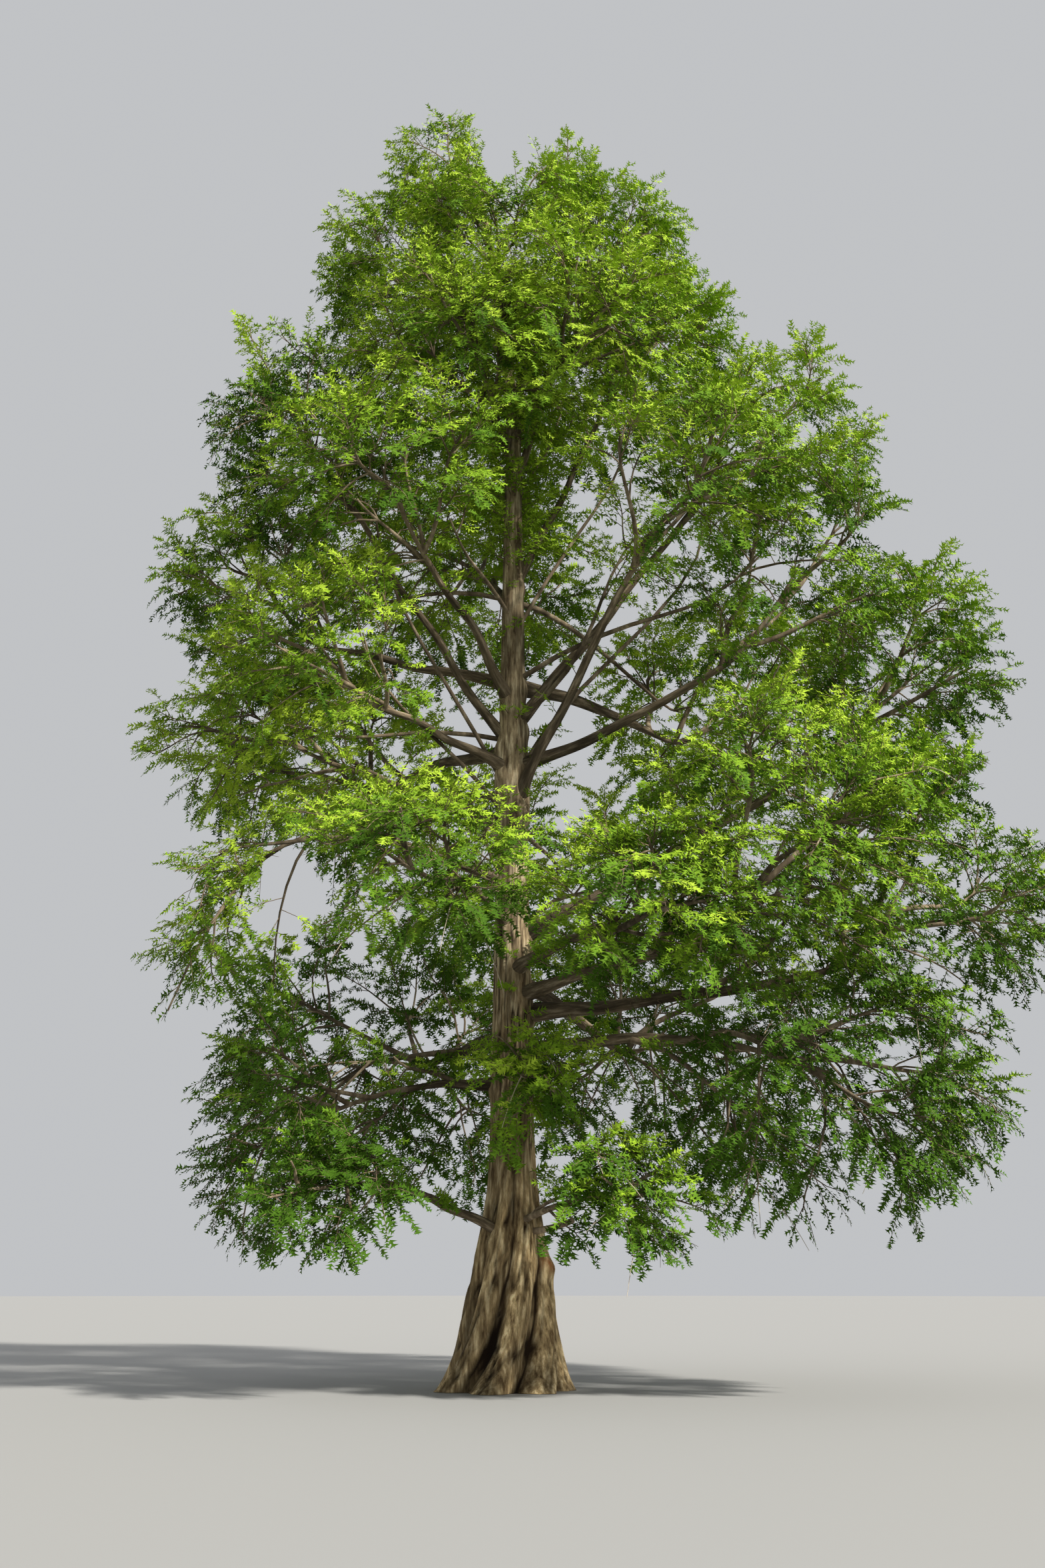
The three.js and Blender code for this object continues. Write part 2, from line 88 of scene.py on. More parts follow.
floorMesh = bpy.data.meshes.new("paleFloor")
floorTurns = np.linspace(0, 2 * math.pi, floor["sides"], endpoint=False)
floorRim = [(floor["radius"] * math.cos(a), floor["radius"] * math.sin(a), -floor["below"])
            for a in floorTurns]
floorMesh.from_pydata(floorRim, [], [tuple(range(floor["sides"]))])
floorMesh.materials.append(plainMaterial("floorPaint", floor["tone"], floor["roughness"])[0])
floorObject = bpy.data.objects.new("paleFloor", floorMesh)
scene.collection.objects.link(floorObject)
print("camera, light and floor")

# the limbs, and the masses of foliage that they carry, by the same rule as the solids
limbRule = {"girthPerSize": 0.055, "girthPerReach": 0.014, "tipShare": 0.5, "collarShare": 0.35,
            "collarLength": 0.65, "reachShare": 0.62, "archShare": 0.1, "raised": 0.08,
            "halvings": 12}


def massOf(name, bearing, reach, height, half, foot, **more):
    # bearing in degrees, reach and height of the middle, half sizes out, across and tall, and the height of
    # the limb's foot on the trunk. lift bends a bough up, entry and rise are where bough and open stem end,
    # leafy adds branches, fresh moves the greens as painted light and painted shade on the mass
    # and as paler young growth, leader is a top shoot, and overWall is how far its twigs may mingle with a
    # neighbour's.
    turn, (out, across, tall) = math.radians(bearing), half
    outward, size = np.array([math.cos(turn), math.sin(turn), 0]), (out + across) / 2
    return {"name": name, "turn": turn, "outward": outward, "aside": np.cross(up, outward), "foot": foot,
            "middle": outward * reach + up * height, "out": out, "across": across, "tall": tall,
            "girth": limbRule["girthPerSize"] * size + limbRule["girthPerReach"] * reach,
            "weight": ((size + tall) / 2) ** 2, "bulk": (out * across * tall) ** (2 / 3),
            "bough": "lift" in more, "dense": "rise" not in more, "leader": None, "leafy": 1, "fresh": 0,
            "overWall": 0.8, **more}


# a mass's shift of the greens below zero is painted shade, as on the low masses and the left shoulder
masses = [
    massOf("crown_top", 180, 1.3, 22.9, (1.75, 1.85, 2), 22, leader=(0.35, 0, 1.9), overWall=0.2),
    massOf("crown_top_right", 13, 1.3, 23.05, (1.1, 1.4, 1.75), 16.9, lift=-0.05, entry=-0.7,
           leader=(0, 0, 1.66), overWall=0.2, fresh=0.1),
    massOf("crown_shoulder", 356, 2.45, 21.4, (1.9, 2.2, 1.9), 16.2, lift=-0.04, entry=-0.6, fresh=0.1),
    massOf("crown_front", 262, 1.45, 21.1, (1.8, 2.6, 2.4), 19.9),
    massOf("upper_left", 176, 2.3, 20.8, (1.8, 2.6, 2.9), 19.1),
    massOf("upper_front_left", 255, 2.5, 17.8, (2.2, 2.9, 2.6), 16.4, leafy=1.4, fresh=0.15),
    massOf("upper_front_right", 306, 2.8, 18.1, (2.15, 2.6, 2.7), 17.2, leafy=1.15, fresh=0.12),
    massOf("upper_right", 4, 3.15, 19.5, (2, 2.45, 2.5), 14.1, lift=-0.06, entry=-0.6, fresh=0.15),
    massOf("upper_back", 88, 2.35, 19.8, (2.45, 3.55, 3.3), 18),
    massOf("left_shoulder", 192, 3.9, 16.6, (2.1, 2.6, 2.8), 10.9, lift=-0.1, entry=-0.6, fresh=-0.55,
           leader=(-1.3, 0, 2.75)),
    massOf("left_front_high", 237, 3.85, 14.6, (2.35, 2.7, 2.6), 11.7, lift=0.05, entry=-0.4, fresh=-0.1),
    massOf("right_high", 2, 5.1, 17.3, (2.4, 2.8, 2.45), 11.25, lift=-0.03, entry=-0.6, fresh=0.15),
    massOf("right_front_high", 318, 4.5, 14.5, (2.65, 2.95, 2.4), 9.6, lift=0.04, entry=-0.5),
    massOf("high_back", 106, 3.8, 16, (3, 3.8, 3), 13.6),
    massOf("left_mid", 177, 4.6, 14, (2.25, 3.05, 2.8), 12.1, lift=0.02, entry=-0.4, leafy=0.9,
           fresh=-0.15),
    massOf("left_front_mid", 221, 4.1, 11.6, (2.2, 2.6, 2.2), 10.4, lift=0.06, entry=-0.3, fresh=0.12),
    massOf("right_mid", 338, 5.55, 13.3, (2.45, 2.95, 3), 10.45, lift=-0.06, entry=-0.5, fresh=-0.25),
    massOf("right_far", 3, 7.3, 12.4, (2.25, 3.2, 3.2), 7.3, lift=-0.04, entry=-0.5, fresh=-0.25),
    massOf("back_right", 40, 6, 13, (2.9, 3.4, 3.3), 12.1, lift=0.06, entry=-0.3),
    massOf("back_left", 134, 5.4, 11.9, (2.8, 3.4, 3.3), 10.8, lift=0.06, entry=-0.3),
    massOf("left_wide", 187, 4.3, 10.8, (2.55, 2.8, 2.4), 9.3, lift=0.05, entry=-0.2, leafy=0.85,
           fresh=0.25),
    massOf("left_hanging", 199, 4.5, 7.2, (1.9, 2.35, 2.4), 8.3, lift=0.1, entry=0.7, rise=-0.6,
           leafy=0.95, fresh=0.05),
    massOf("front_left", 247, 4.1, 7.6, (2.6, 2.8, 1.8), 7.5, lift=0.12, entry=0.1, leafy=1.35, fresh=-0.2),
    massOf("front_right", 299, 5, 6.8, (2.6, 2.7, 1.8), 6.7, lift=0.1, entry=0.0, leafy=1.4, fresh=-0.12),
    massOf("right_front", 321, 5.7, 8, (2.8, 3.05, 3.3), 6.3, lift=0.04, entry=-0.4, leafy=1.5, fresh=-0.2),
    massOf("right_wide", 354, 7.1, 8.2, (2.9, 3.3, 3.2), 6, lift=-0.03, entry=-0.5, leafy=1.3, fresh=-0.35),
    massOf("back_wide", 86, 5.7, 9.5, (3, 3.9, 3.9), 8.2, lift=0.06, entry=-0.3, leafy=0.9),
    massOf("low_left", 185, 3.15, 4.3, (2.45, 3.05, 2.9), 4.8, lift=0.06, entry=0.15, rise=-0.3, leafy=1.2,
           fresh=-0.5),
    massOf("low_left_front", 228, 3.8, 2.9, (1.9, 2.15, 1.3), 2.3, lift=0.08, entry=0.1, rise=-0.1,
           fresh=-0.7),
    massOf("low_front", 284, 2.4, 4.6, (1.6, 1.9, 1.6), 4.9, rise=-0.2, leafy=0.95, fresh=0.08),
    massOf("low_front_right", 302, 3.4, 2.9, (1.8, 1.9, 1.3), 2.5, rise=-0.1, leafy=1.2, fresh=-0.25),
    massOf("low_right", 337, 5.6, 4.5, (3, 3.3, 2.7), 5.3, lift=0.08, entry=0.3, leafy=1.65, fresh=-0.6),
    massOf("low_back_left", 122, 4.4, 5.5, (3.1, 3.9, 3.6), 5.6, lift=0.06, entry=0.0, leafy=0.9,
           fresh=-0.6),
    massOf("low_back_right", 52, 5.3, 6.2, (3.2, 4, 3.9), 6.6, lift=0.06, entry=-0.1, leafy=0.9,
           fresh=-0.6),
]

# the trunk: an even taper, buttresses, toes, a swelling under the big limbs, flutes and a lean near the top
trunk = {"tip": 22.3, "fullHeight": 25.0, "girth": 0.84, "tipGirth": 0.04, "taperPower": 1.05,
         "buttressGirth": 0.66, "buttressHeight": 2.4, "toeGirth": 0.62, "toeHeight": 0.45,
         "swellingGirth": 0.12, "swellingAt": 10.2, "swellingHeight": 0.7,
         "flutes": 7, "fluteDepth": 0.12, "fluteHeight": 3.0, "twist": 1.4, "twistHeight": 3.0,
         "standOff": 0.13, "standOffHeight": 0.6, "lean": -1.03, "leanFrom": 17.5, "leanPower": 1.3}


def mix(a, b, share):
    return a + (b - a) * share


def unit(vectors):
    return vectors / np.maximum(np.linalg.norm(vectors, axis=-1, keepdims=True), 1e-9)


def trunkMiddle(height):
    height = np.asarray(height, float)
    above = np.clip((height - trunk["leanFrom"]) / (trunk["fullHeight"] - trunk["leanFrom"]), 0, None)
    x = trunk["standOff"] * (1 - np.exp(-height / trunk["standOffHeight"]))
    x = x + trunk["lean"] * above ** trunk["leanPower"]
    return np.stack([x, 0 * x, height], -1)


def trunkRadius(height, turn):
    taper = trunk["tipGirth"] + trunk["girth"] * (1 - height / trunk["fullHeight"]) ** trunk["taperPower"]
    buttress = trunk["buttressGirth"] * np.exp(-((height / trunk["buttressHeight"]) ** 3))
    toes = trunk["toeGirth"] * np.exp(-height / trunk["toeHeight"])
    fromSwelling = (height - trunk["swellingAt"]) / trunk["swellingHeight"]
    swelling = trunk["swellingGirth"] * np.exp(-(fromSwelling ** 2))
    depth = trunk["fluteDepth"] * np.exp(-height / trunk["fluteHeight"])
    return (taper + buttress + toes + swelling) / 2 * (1 + depth * np.cos(trunk["flutes"] * turn))


# a path is a curve by three points, or by four where it bends twice, and many paths are an array of them
def pathPoint(path, share):
    t = np.asarray(share)[..., None]
    if path.shape[-2] == 3:
        return (1 - t) ** 2 * path[..., 0, :] + 2 * t * (1 - t) * path[..., 1, :] + t ** 2 * path[..., 2, :]
    return ((1 - t) ** 3 * path[..., 0, :] + 3 * t * (1 - t) ** 2 * path[..., 1, :]
            + 3 * t ** 2 * (1 - t) * path[..., 2, :] + t ** 3 * path[..., 3, :])


def pathCourse(path, share):
    t = np.asarray(share)[..., None]
    edges = np.diff(path, axis=-2)
    if path.shape[-2] == 3:
        return unit((1 - t) * edges[..., 0, :] + t * edges[..., 1, :])
    return unit((1 - t) ** 2 * edges[..., 0, :] + 2 * t * (1 - t) * edges[..., 1, :]
                + t ** 2 * edges[..., 2, :])


def twiceBent(path):
    # the same curve of three points, by four
    first, bend, last = path[..., 0, :], path[..., 1, :], path[..., 2, :]
    return np.stack([first, mix(first, bend, 2 / 3), mix(last, bend, 2 / 3), last], -2)


# openings right through the crown, where nothing grows
gaps = [
    dict(through=(-3.85, 0, 8.15), along=(-0.16, 1, 0.25), wide=0.42, tall=0.78),
    dict(through=(9.75, 0, 10.25), along=(0.36, 1, 0.33), wide=1.0, tall=0.85),
    dict(through=(7.75, 0, 15.25), along=(0.28, 1, 0.52), wide=0.5, tall=0.4),
    dict(through=(-0.22, 0, 24.15), along=(-0.02, 1, 0.86), wide=0.28, tall=0.7),
    dict(through=(-6.4, 0, 12.5), along=(-0.25, 1, 0.42), wide=0.5, tall=0.32),
    dict(through=(-6.05, 0, 8.25), along=(-0.24, 1, 0.25), wide=0.55, tall=0.3),
]


def inGap(points, wider=1.0):
    found = np.zeros(points.shape[:-1], bool)
    for gap in gaps:
        apart = points - gap["through"] - points[..., 1:2] * np.array(gap["along"])
        found |= (apart[..., 0] / gap["wide"]) ** 2 + (apart[..., 2] / gap["tall"]) ** 2 < wider ** 2
    return found


def depthInside(mass, points):
    # how far inside the mass's space each point lies, as a share of its half sizes
    fromMiddle = points - mass["middle"]
    parts = [fromMiddle @ mass["outward"] / mass["out"], fromMiddle @ mass["aside"] / mass["across"],
             fromMiddle[..., 2] / mass["tall"]]
    return 1 - np.sqrt(sum(part ** 2 for part in parts))


def isInside(mass, points, overWall=0.0):
    inside = depthInside(mass, points) > 0
    for other in masses:
        if other is mass:
            continue
        apart = other["middle"] - mass["middle"]
        level = (other["middle"] @ other["middle"] - mass["middle"] @ mass["middle"]
                 + mass["weight"] - other["weight"])
        inside &= (level - 2 * points @ apart) / (2 * np.linalg.norm(apart)) > -overWall
    return inside


def roomAhead(mass, start, courses, overWall=0.0):
    # how far each course runs from the start before it leaves the mass's space, by halving
    near = np.zeros(len(courses))
    far = np.full(len(courses), 2 * max(mass["out"], mass["across"], mass["tall"]))
    for halving in range(limbRule["halvings"]):
        half = (near + far) / 2
        inside = isInside(mass, start + courses * half[:, None], overWall)
        near, far = np.where(inside, half, near), np.where(inside, far, half)
    return near


def boughPath(mass):
    start = trunkMiddle(mass["foot"])
    end = (mass["middle"] - limbRule["reachShare"] * mass["out"] * mass["outward"]
           + mass["entry"] * mass["tall"] * up)
    bend = (start + end) / 2 + mass["lift"] * np.linalg.norm(end - start) * up
    return np.array([start, bend, end])


def stemPath(mass):
    end = mass["middle"] + limbRule["raised"] * mass["tall"] * up
    if not mass["dense"]:
        end = (mass["middle"] + limbRule["reachShare"] * mass["out"] * mass["outward"]
               + mass["rise"] * mass["tall"] * up)
    if not mass["bough"]:
        start = trunkMiddle(mass["foot"])
        bend = (start + end) / 2 + limbRule["archShare"] * np.linalg.norm(end - start) * up
    else:
        path = boughPath(mass)
        start = path[2]
        bend = start + pathCourse(path, 1.0) * np.linalg.norm(end - start) / 3
    return np.array([start, bend, end])


# meshes from arrays
def pointMesh(name, points):
    mesh = bpy.data.meshes.new(name)
    mesh.vertices.add(len(points))
    mesh.vertices.foreach_set("co", points.astype(np.float32).ravel())
    return mesh


def meshFrom(name, points, faces, material):
    mesh, sides = pointMesh(name, points), faces.shape[1]
    mesh.loops.add(faces.size)
    mesh.loops.foreach_set("vertex_index", np.ascontiguousarray(faces, np.int32).ravel())
    mesh.polygons.add(len(faces))
    mesh.polygons.foreach_set("loop_start", np.arange(len(faces), dtype=np.int32) * sides)
    mesh.update(calc_edges=True)
    mesh.polygons.foreach_set("use_smooth", np.ones(len(faces), bool))
    if material:
        mesh.materials.append(material)
    return mesh


def addPiece(name, mesh, nodes):
    piece = bpy.data.objects.new(name, mesh)
    scene.collection.objects.link(piece)
    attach(piece, "root")
    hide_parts(*nodes)
    return piece


def wrapNoise(dice, around, height, cellsRound, cellLength):
    # smooth chance pattern round a limb, where around runs from 0 to 1 and closes on itself
    grid = dice.random((cellsRound, int(height.max() / cellLength) + 3))
    a, b = around * cellsRound, height / cellLength
    i, j = np.floor(a).astype(int), np.floor(b).astype(int)
    fa, fb = a - i, b - j
    fa, fb = fa * fa * (3 - 2 * fa), fb * fb * (3 - 2 * fb)
    i, k = i % cellsRound, (i + 1) % cellsRound
    return mix(mix(grid[i, j], grid[k, j], fa), mix(grid[i, j + 1], grid[k, j + 1], fa), fb)


def tubeFaces(rings, sides, start=0):
    ring, side = np.meshgrid(np.arange(rings - 1), np.arange(sides), indexing="ij")
    a, b = ring * sides + side, ring * sides + (side + 1) % sides
    return (np.stack([a, b, b + sides, a + sides], -1).reshape(-1, 4) + start).astype(np.int32)


def closedTube(rings, sides, start, firstMiddle, lastMiddle):
    # triangles of a round limb, closed at both ends by fans about the two middle points
    quads = tubeFaces(rings, sides, start)
    ring = start + np.arange(sides)
    after = start + (np.arange(sides) + 1) % sides
    last = (rings - 1) * sides
    return np.vstack([quads[:, [0, 1, 2]], quads[:, [0, 2, 3]],
                      np.stack([after, ring, 0 * ring + firstMiddle], -1),
                      np.stack([last + ring, last + after, 0 * ring + lastMiddle], -1)]).astype(np.int32)


# bark: fibres along the stem, dark cracks, painted shade in the trunk's folds, and lighter and darker patches
barkLook = {"roughness": 0.92, "gloss": 0.2, "fibreStretch": (1, 1, 0.16), "fibreDetail": 7,
            "fibreRoughness": 0.62, "tonesAt": (0.34, 0.52, 0.66), "patchScale": 1 / 6, "patchDetail": 3,
            "patchRange": (0.38, 0.62, 0.58, 1.45), "greyerUp": (2.5, 8.0, 1.08, 0.92), "relief": 0.7,
            "reliefDepth": 0.03}
# the first colour of each bark is the dark of its cracks, and on the trunk also painted shade in the folds
barkTones = {
    "trunkBark": dict(crack_and_shade=(0.018, 0.010, 0.005), low=(0.120, 0.078, 0.040), pale=(0.48, 0.360, 0.200),
                      high=(0.92, 0.76, 0.48), scale=12.0, bare=(0.46, 0.15, 0.05)),
    "limbBark": dict(crack_and_shade=(0.020, 0.014, 0.008), low=(0.060, 0.046, 0.029), pale=(0.130, 0.100, 0.064),
                     high=(0.29, 0.235, 0.16), scale=14.0, grain="grain"),
    "branchBark": dict(crack_and_shade=(0.020, 0.014, 0.008), low=(0.080, 0.060, 0.038), pale=(0.155, 0.120, 0.079),
                       high=(0.30, 0.245, 0.165), scale=5.0),
    "twigBark": dict(crack_and_shade=(0.020, 0.014, 0.008), low=(0.110, 0.080, 0.050), pale=(0.17, 0.125, 0.08),
                     high=(0.235, 0.175, 0.115), scale=9.0),
    "deadBark": dict(crack_and_shade=(0.05, 0.04, 0.03), low=(0.30, 0.25, 0.18), pale=(0.43, 0.37, 0.28),
                     high=(0.56, 0.50, 0.40), scale=9.0),
}


def setInputs(tree, node, values):
    # every input is joined to a socket, or set to a value
    for label, value in values.items():
        if isinstance(value, bpy.types.NodeSocket):
            tree.links.new(value, node.inputs[label])
        else:
            node.inputs[label].default_value = value


def addNode(tree, kind, values):
    node = tree.nodes.new(kind)
    setInputs(tree, node, values)
    return node.outputs


def ranged(tree, value, limits):
    labels = ("Value", "From Min", "From Max", "To Min", "To Max")
    return addNode(tree, "ShaderNodeMapRange", dict(zip(labels, (value, *limits))))["Result"]


def attributeOf(tree, name):
    node = tree.nodes.new("ShaderNodeAttribute")
    node.attribute_name = name
    return node.outputs


def barkMaterial(name, crack_and_shade, low, pale, high, scale, grain=None, bare=None):
    # grain names the attribute that runs along a limb, and without it the fibres run straight up
    look, (material, shader) = barkLook, plainMaterial(name, low, barkLook["roughness"])
    tree = material.node_tree
    if grain:
        place = attributeOf(tree, grain)["Vector"]
    else:
        place = addNode(tree, "ShaderNodeTexCoord", {})["Object"]
    run = addNode(tree, "ShaderNodeMapping", {"Vector": place, "Scale": look["fibreStretch"]})["Vector"]
    fibres = addNode(tree, "ShaderNodeTexNoise", {
        "Vector": run, "Scale": scale, "Detail": look["fibreDetail"],
        "Roughness": look["fibreRoughness"]})["Fac"]
    tones = tree.nodes.new("ShaderNodeValToRGB")
    tones.color_ramp.elements.new(0.5)
    for element, at, tone in zip(tones.color_ramp.elements, look["tonesAt"], (low, pale, high)):
        element.position = at
        element.color = (*tone, 1)
    setInputs(tree, tones, {"Fac": fibres})
    # the dark colour comes in by the attribute: bark cracks, and on the trunk painted shade in the folds
    # between the buttresses
    colour = addNode(tree, "ShaderNodeMixRGB", {
        "Fac": attributeOf(tree, "crack_and_shade")["Fac"], "Color1": tones.outputs["Color"],
        "Color2": (*crack_and_shade, 1)})["Color"]
    patches = addNode(tree, "ShaderNodeTexNoise", {
        "Vector": run, "Scale": scale * look["patchScale"], "Detail": look["patchDetail"]})["Fac"]
    changes = {"Color": colour, "Value": ranged(tree, patches, look["patchRange"])}
    if bare:  # bark that greys up the trunk
        height = addNode(tree, "ShaderNodeSeparateXYZ", {"Vector": place})["Z"]
        changes["Saturation"] = ranged(tree, height, look["greyerUp"])
    colour = addNode(tree, "ShaderNodeHueSaturation", changes)["Color"]
    if bare:  # raw wood on the burl
        colour = addNode(tree, "ShaderNodeMixRGB", {
            "Fac": attributeOf(tree, "bare")["Fac"], "Color1": colour, "Color2": (*bare, 1)})["Color"]
    bump = addNode(tree, "ShaderNodeBump", {
        "Height": fibres, "Strength": look["relief"], "Distance": look["reliefDepth"]})["Normal"]
    setInputs(tree, shader, {"Base Color": colour, "Normal": bump, "Specular IOR Level": look["gloss"]})
    return material


barks = {name: barkMaterial(name, **tones) for name, tones in barkTones.items()}


def setValues(mesh, name, values):
    mesh.attributes.new(name, "FLOAT", "POINT").data.foreach_set("value", values.astype(np.float32))


def setVectors(mesh, name, vectors):
    place = mesh.attributes.new(name, "FLOAT_VECTOR", "POINT")
    place.data.foreach_set("vector", vectors.astype(np.float32).ravel())


def ridges(pattern, edge):
    # thin lines along the middle value of a smooth pattern, 1 on the line and 0 away from it
    return np.clip((1 - np.abs(2 * pattern - 1) - edge) / (1 - edge), 0, 1)


def turnAway(bearing, side):
    return (bearing - side + math.pi) % (2 * math.pi) - math.pi


# trunk: buttresses folded between the flutes, long fibrous strips, knots under the boughs and a burl, with
# painted shade in the folds between the buttresses
trunkLook = {"seed": 11, "sides": 140, "rings": 300, "ringPower": 1.35,
             "foldDepth": 0.10, "foldHeight": 2.3, "foldPower": 2.5, "leastGirth": 0.25, "mostGirth": 1.3,
             "lumps": 0.05, "lumpsRound": 9, "lumpLength": 1.4, "lumpHeight": 6,
             "strips": 46, "stripLength": 1.1, "stripDepth": 0.030, "stripEdge": 0.72,
             "hairs": 93, "hairLength": 0.45, "hairDepth": 0.010, "hairEdge": 0.7,
             "smootherFrom": 6, "smoother": 0.6, "darkerFrom": 2.5, "darker": 0.3, "changeHeight": 4,
             "burlAt": 1.87, "burlBearing": -0.35, "burlSize": 0.15, "burlRise": 0.09, "bareSize": 0.12,
             "bareAside": -0.04, "bareRaised": 0.06, "bareFlat": 0.55, "knotRise": 0.55, "knotSize": 1.6,
             "knotWide": 0.5, "smallKnotWide": 0.4, "knotBelow": 0.6, "tipRise": 0.02,
             # foldDark is painted shade in the folds between the buttresses
             "stripDark": 0.75, "hairDark": 0.35, "foldDark": 0.8, "bareLeast": 0.35}


def makeTrunk():
    look, dice = trunkLook, np.random.default_rng(trunkLook["seed"])
    share, around = np.meshgrid(np.linspace(0, 1, look["rings"]), np.arange(look["sides"]) / look["sides"],
                                indexing="ij")
    height = trunk["tip"] * share ** look["ringPower"]
    turn = 2 * math.pi * around
    radius = trunkRadius(height, turn)
    plain = trunkRadius(height, np.pi / 2 / trunk["flutes"] + 0 * turn)
    fold = np.clip(-np.cos(trunk["flutes"] * turn), 0, 1) ** look["foldPower"]
    fold *= np.exp(-height / look["foldHeight"])
    radius *= 1 - look["foldDepth"] * fold
    lumps = wrapNoise(dice, around, height, look["lumpsRound"], look["lumpLength"])
    radius *= 1 + look["lumps"] * (lumps - 0.5) * np.exp(-height / look["lumpHeight"])
    strips = wrapNoise(dice, around, height, look["strips"], look["stripLength"])
    hairs = wrapNoise(dice, around, height, look["hairs"], look["hairLength"])
    smoother = 1 - look["smoother"] * np.clip((height - look["smootherFrom"]) / look["changeHeight"], 0, 1)
    strip, hair = ridges(strips, look["stripEdge"]) * smoother, ridges(hairs, look["hairEdge"]) * smoother
    girth = np.clip(plain / 0.5, look["leastGirth"], look["mostGirth"])
    radius -= girth * (look["stripDepth"] * strip + look["hairDepth"] * hair)
    bearing = turn + trunk["twist"] * (1 - np.exp(-height / trunk["twistHeight"]))
    knots = [(look["burlAt"], look["burlBearing"], look["burlSize"], look["burlRise"])]
    for mass in masses:
        wide = mass["girth"] * look["knotWide" if mass["bough"] else "smallKnotWide"]
        knots.append((mass["foot"] - look["knotBelow"] * wide, mass["turn"],
                      look["knotSize"] * wide, look["knotRise"] * wide))
    for at, side, wide, rise in knots:
        away = turnAway(bearing, side)
        radius += rise * np.exp(-((away * plain) ** 2 + (height - at) ** 2) / wide ** 2)
    outward = np.stack([radius * np.cos(bearing), radius * np.sin(bearing), 0 * radius], -1)
    points = trunkMiddle(height) + outward
    count = points.shape[0] * points.shape[1]
    tipMiddle = trunkMiddle(trunk["tip"]) + look["tipRise"] * up
    points = np.vstack([points.reshape(-1, 3), tipMiddle, [0, 0, 0]])
    faces = closedTube(look["rings"], look["sides"], 0, count + 1, count)
    mesh = meshFrom("trunk_bark", points, faces, barks["trunkBark"])
    darker = look["darker"] * np.clip((height - look["darkerFrom"]) / look["changeHeight"], 0, 1)
    # dark cracks along the strips and hairs, and painted shade in the folds between the buttresses
    deep = look["stripDark"] * strip + look["hairDark"] * hair + look["foldDark"] * fold
    deep = np.clip(deep + darker, 0, 1)
    setValues(mesh, "crack_and_shade", np.append(deep, [0.5, 0.5]))
    aside = (turnAway(bearing, look["burlBearing"]) * plain - look["bareAside"]) / look["bareFlat"]
    near = aside ** 2 + (height - look["burlAt"] - look["bareRaised"]) ** 2
    bare = np.exp(-near / look["bareSize"] ** 2) * mix(look["bareLeast"], 1, hairs)
    setValues(mesh, "bare", np.append(bare, [0, 0]))
    addPiece("trunk_bark", mesh, ["trunk"])


makeTrunk()
print("trunk")

# boughs: each one tapering, a little crooked, swollen at its collar
boughLook = {"seed": 23, "sides": 14, "rings": 44, "crook": 0.022, "swings": 2.3, "relief": 0.16, "strips": 7,
             "stripLength": 0.5, "crackBelow": 0.42, "crack_and_shade": 1.6, "grainApart": 9,
             "overSway": 0.6, "overWaves": 5}


def makeBoughs():
    look, dice = boughLook, np.random.default_rng(boughLook["seed"])
    points, faces, cracks, grains = [], [], [], []
    share, around = np.meshgrid(np.linspace(0, 1, look["rings"]), np.arange(look["sides"]) / look["sides"],
                                indexing="ij")
    spin = 2 * math.pi * around
    for mass in masses:
        if not mass["bough"]:
            continue
        path = boughPath(mass)
        along = pathCourse(path, share)
        aside = unit(np.cross(up, path[2] - path[0]))
        side = unit(aside - (along @ aside)[..., None] * along)
        over = np.cross(side, along)
        length = np.linalg.norm(path[2] - path[0])
        collar = limbRule["collarShare"] * np.exp(-((share * length / limbRule["collarLength"]) ** 2))
        radius = mass["girth"] / 2 * (mix(1, limbRule["tipShare"], share) + collar)
        grain = wrapNoise(dice, around, share * length, look["strips"], look["stripLength"])
        radius = radius * (1 + look["relief"] * (grain - 0.5))
        swing = np.sin(math.pi * (look["swings"] * share + 2 * dice.random()))
        sway = look["crook"] * length * np.sin(math.pi * share) * swing
        middle = pathPoint(path, share) + side * sway[..., None]
        middle += over * (look["overSway"] * sway * np.cos(look["overWaves"] * share))[..., None]
        ring = middle + side * (radius * np.cos(spin))[..., None] - over * (radius * np.sin(spin))[..., None]
        start = sum(len(p) for p in points)
        points += [ring.reshape(-1, 3), middle[[0, -1], 0]]
        ends = start + ring.shape[0] * ring.shape[1]
        faces.append(closedTube(look["rings"], look["sides"], start, ends, ends + 1))
        cracks.append(np.append(np.clip(look["crack_and_shade"] * (look["crackBelow"] - grain), 0, 1), [0.5, 0.5]))
        run = share * length + look["grainApart"] * len(grains)
        place = np.stack([radius * np.cos(spin), radius * np.sin(spin), run], -1)
        grains.append(np.vstack([place.reshape(-1, 3), place[0, 0], place[-1, 0]]))
    mesh = meshFrom("bough_bark", np.vstack(points), np.vstack(faces), barks["limbBark"])
    setValues(mesh, "crack_and_shade", np.concatenate(cracks))
    setVectors(mesh, "grain", np.vstack(grains))
    boughNodes = ["bough_" + mass["name"] for mass in masses if mass["bough"]]
    addPiece("bough_bark", mesh, boughNodes)


makeBoughs()
print("boughs")

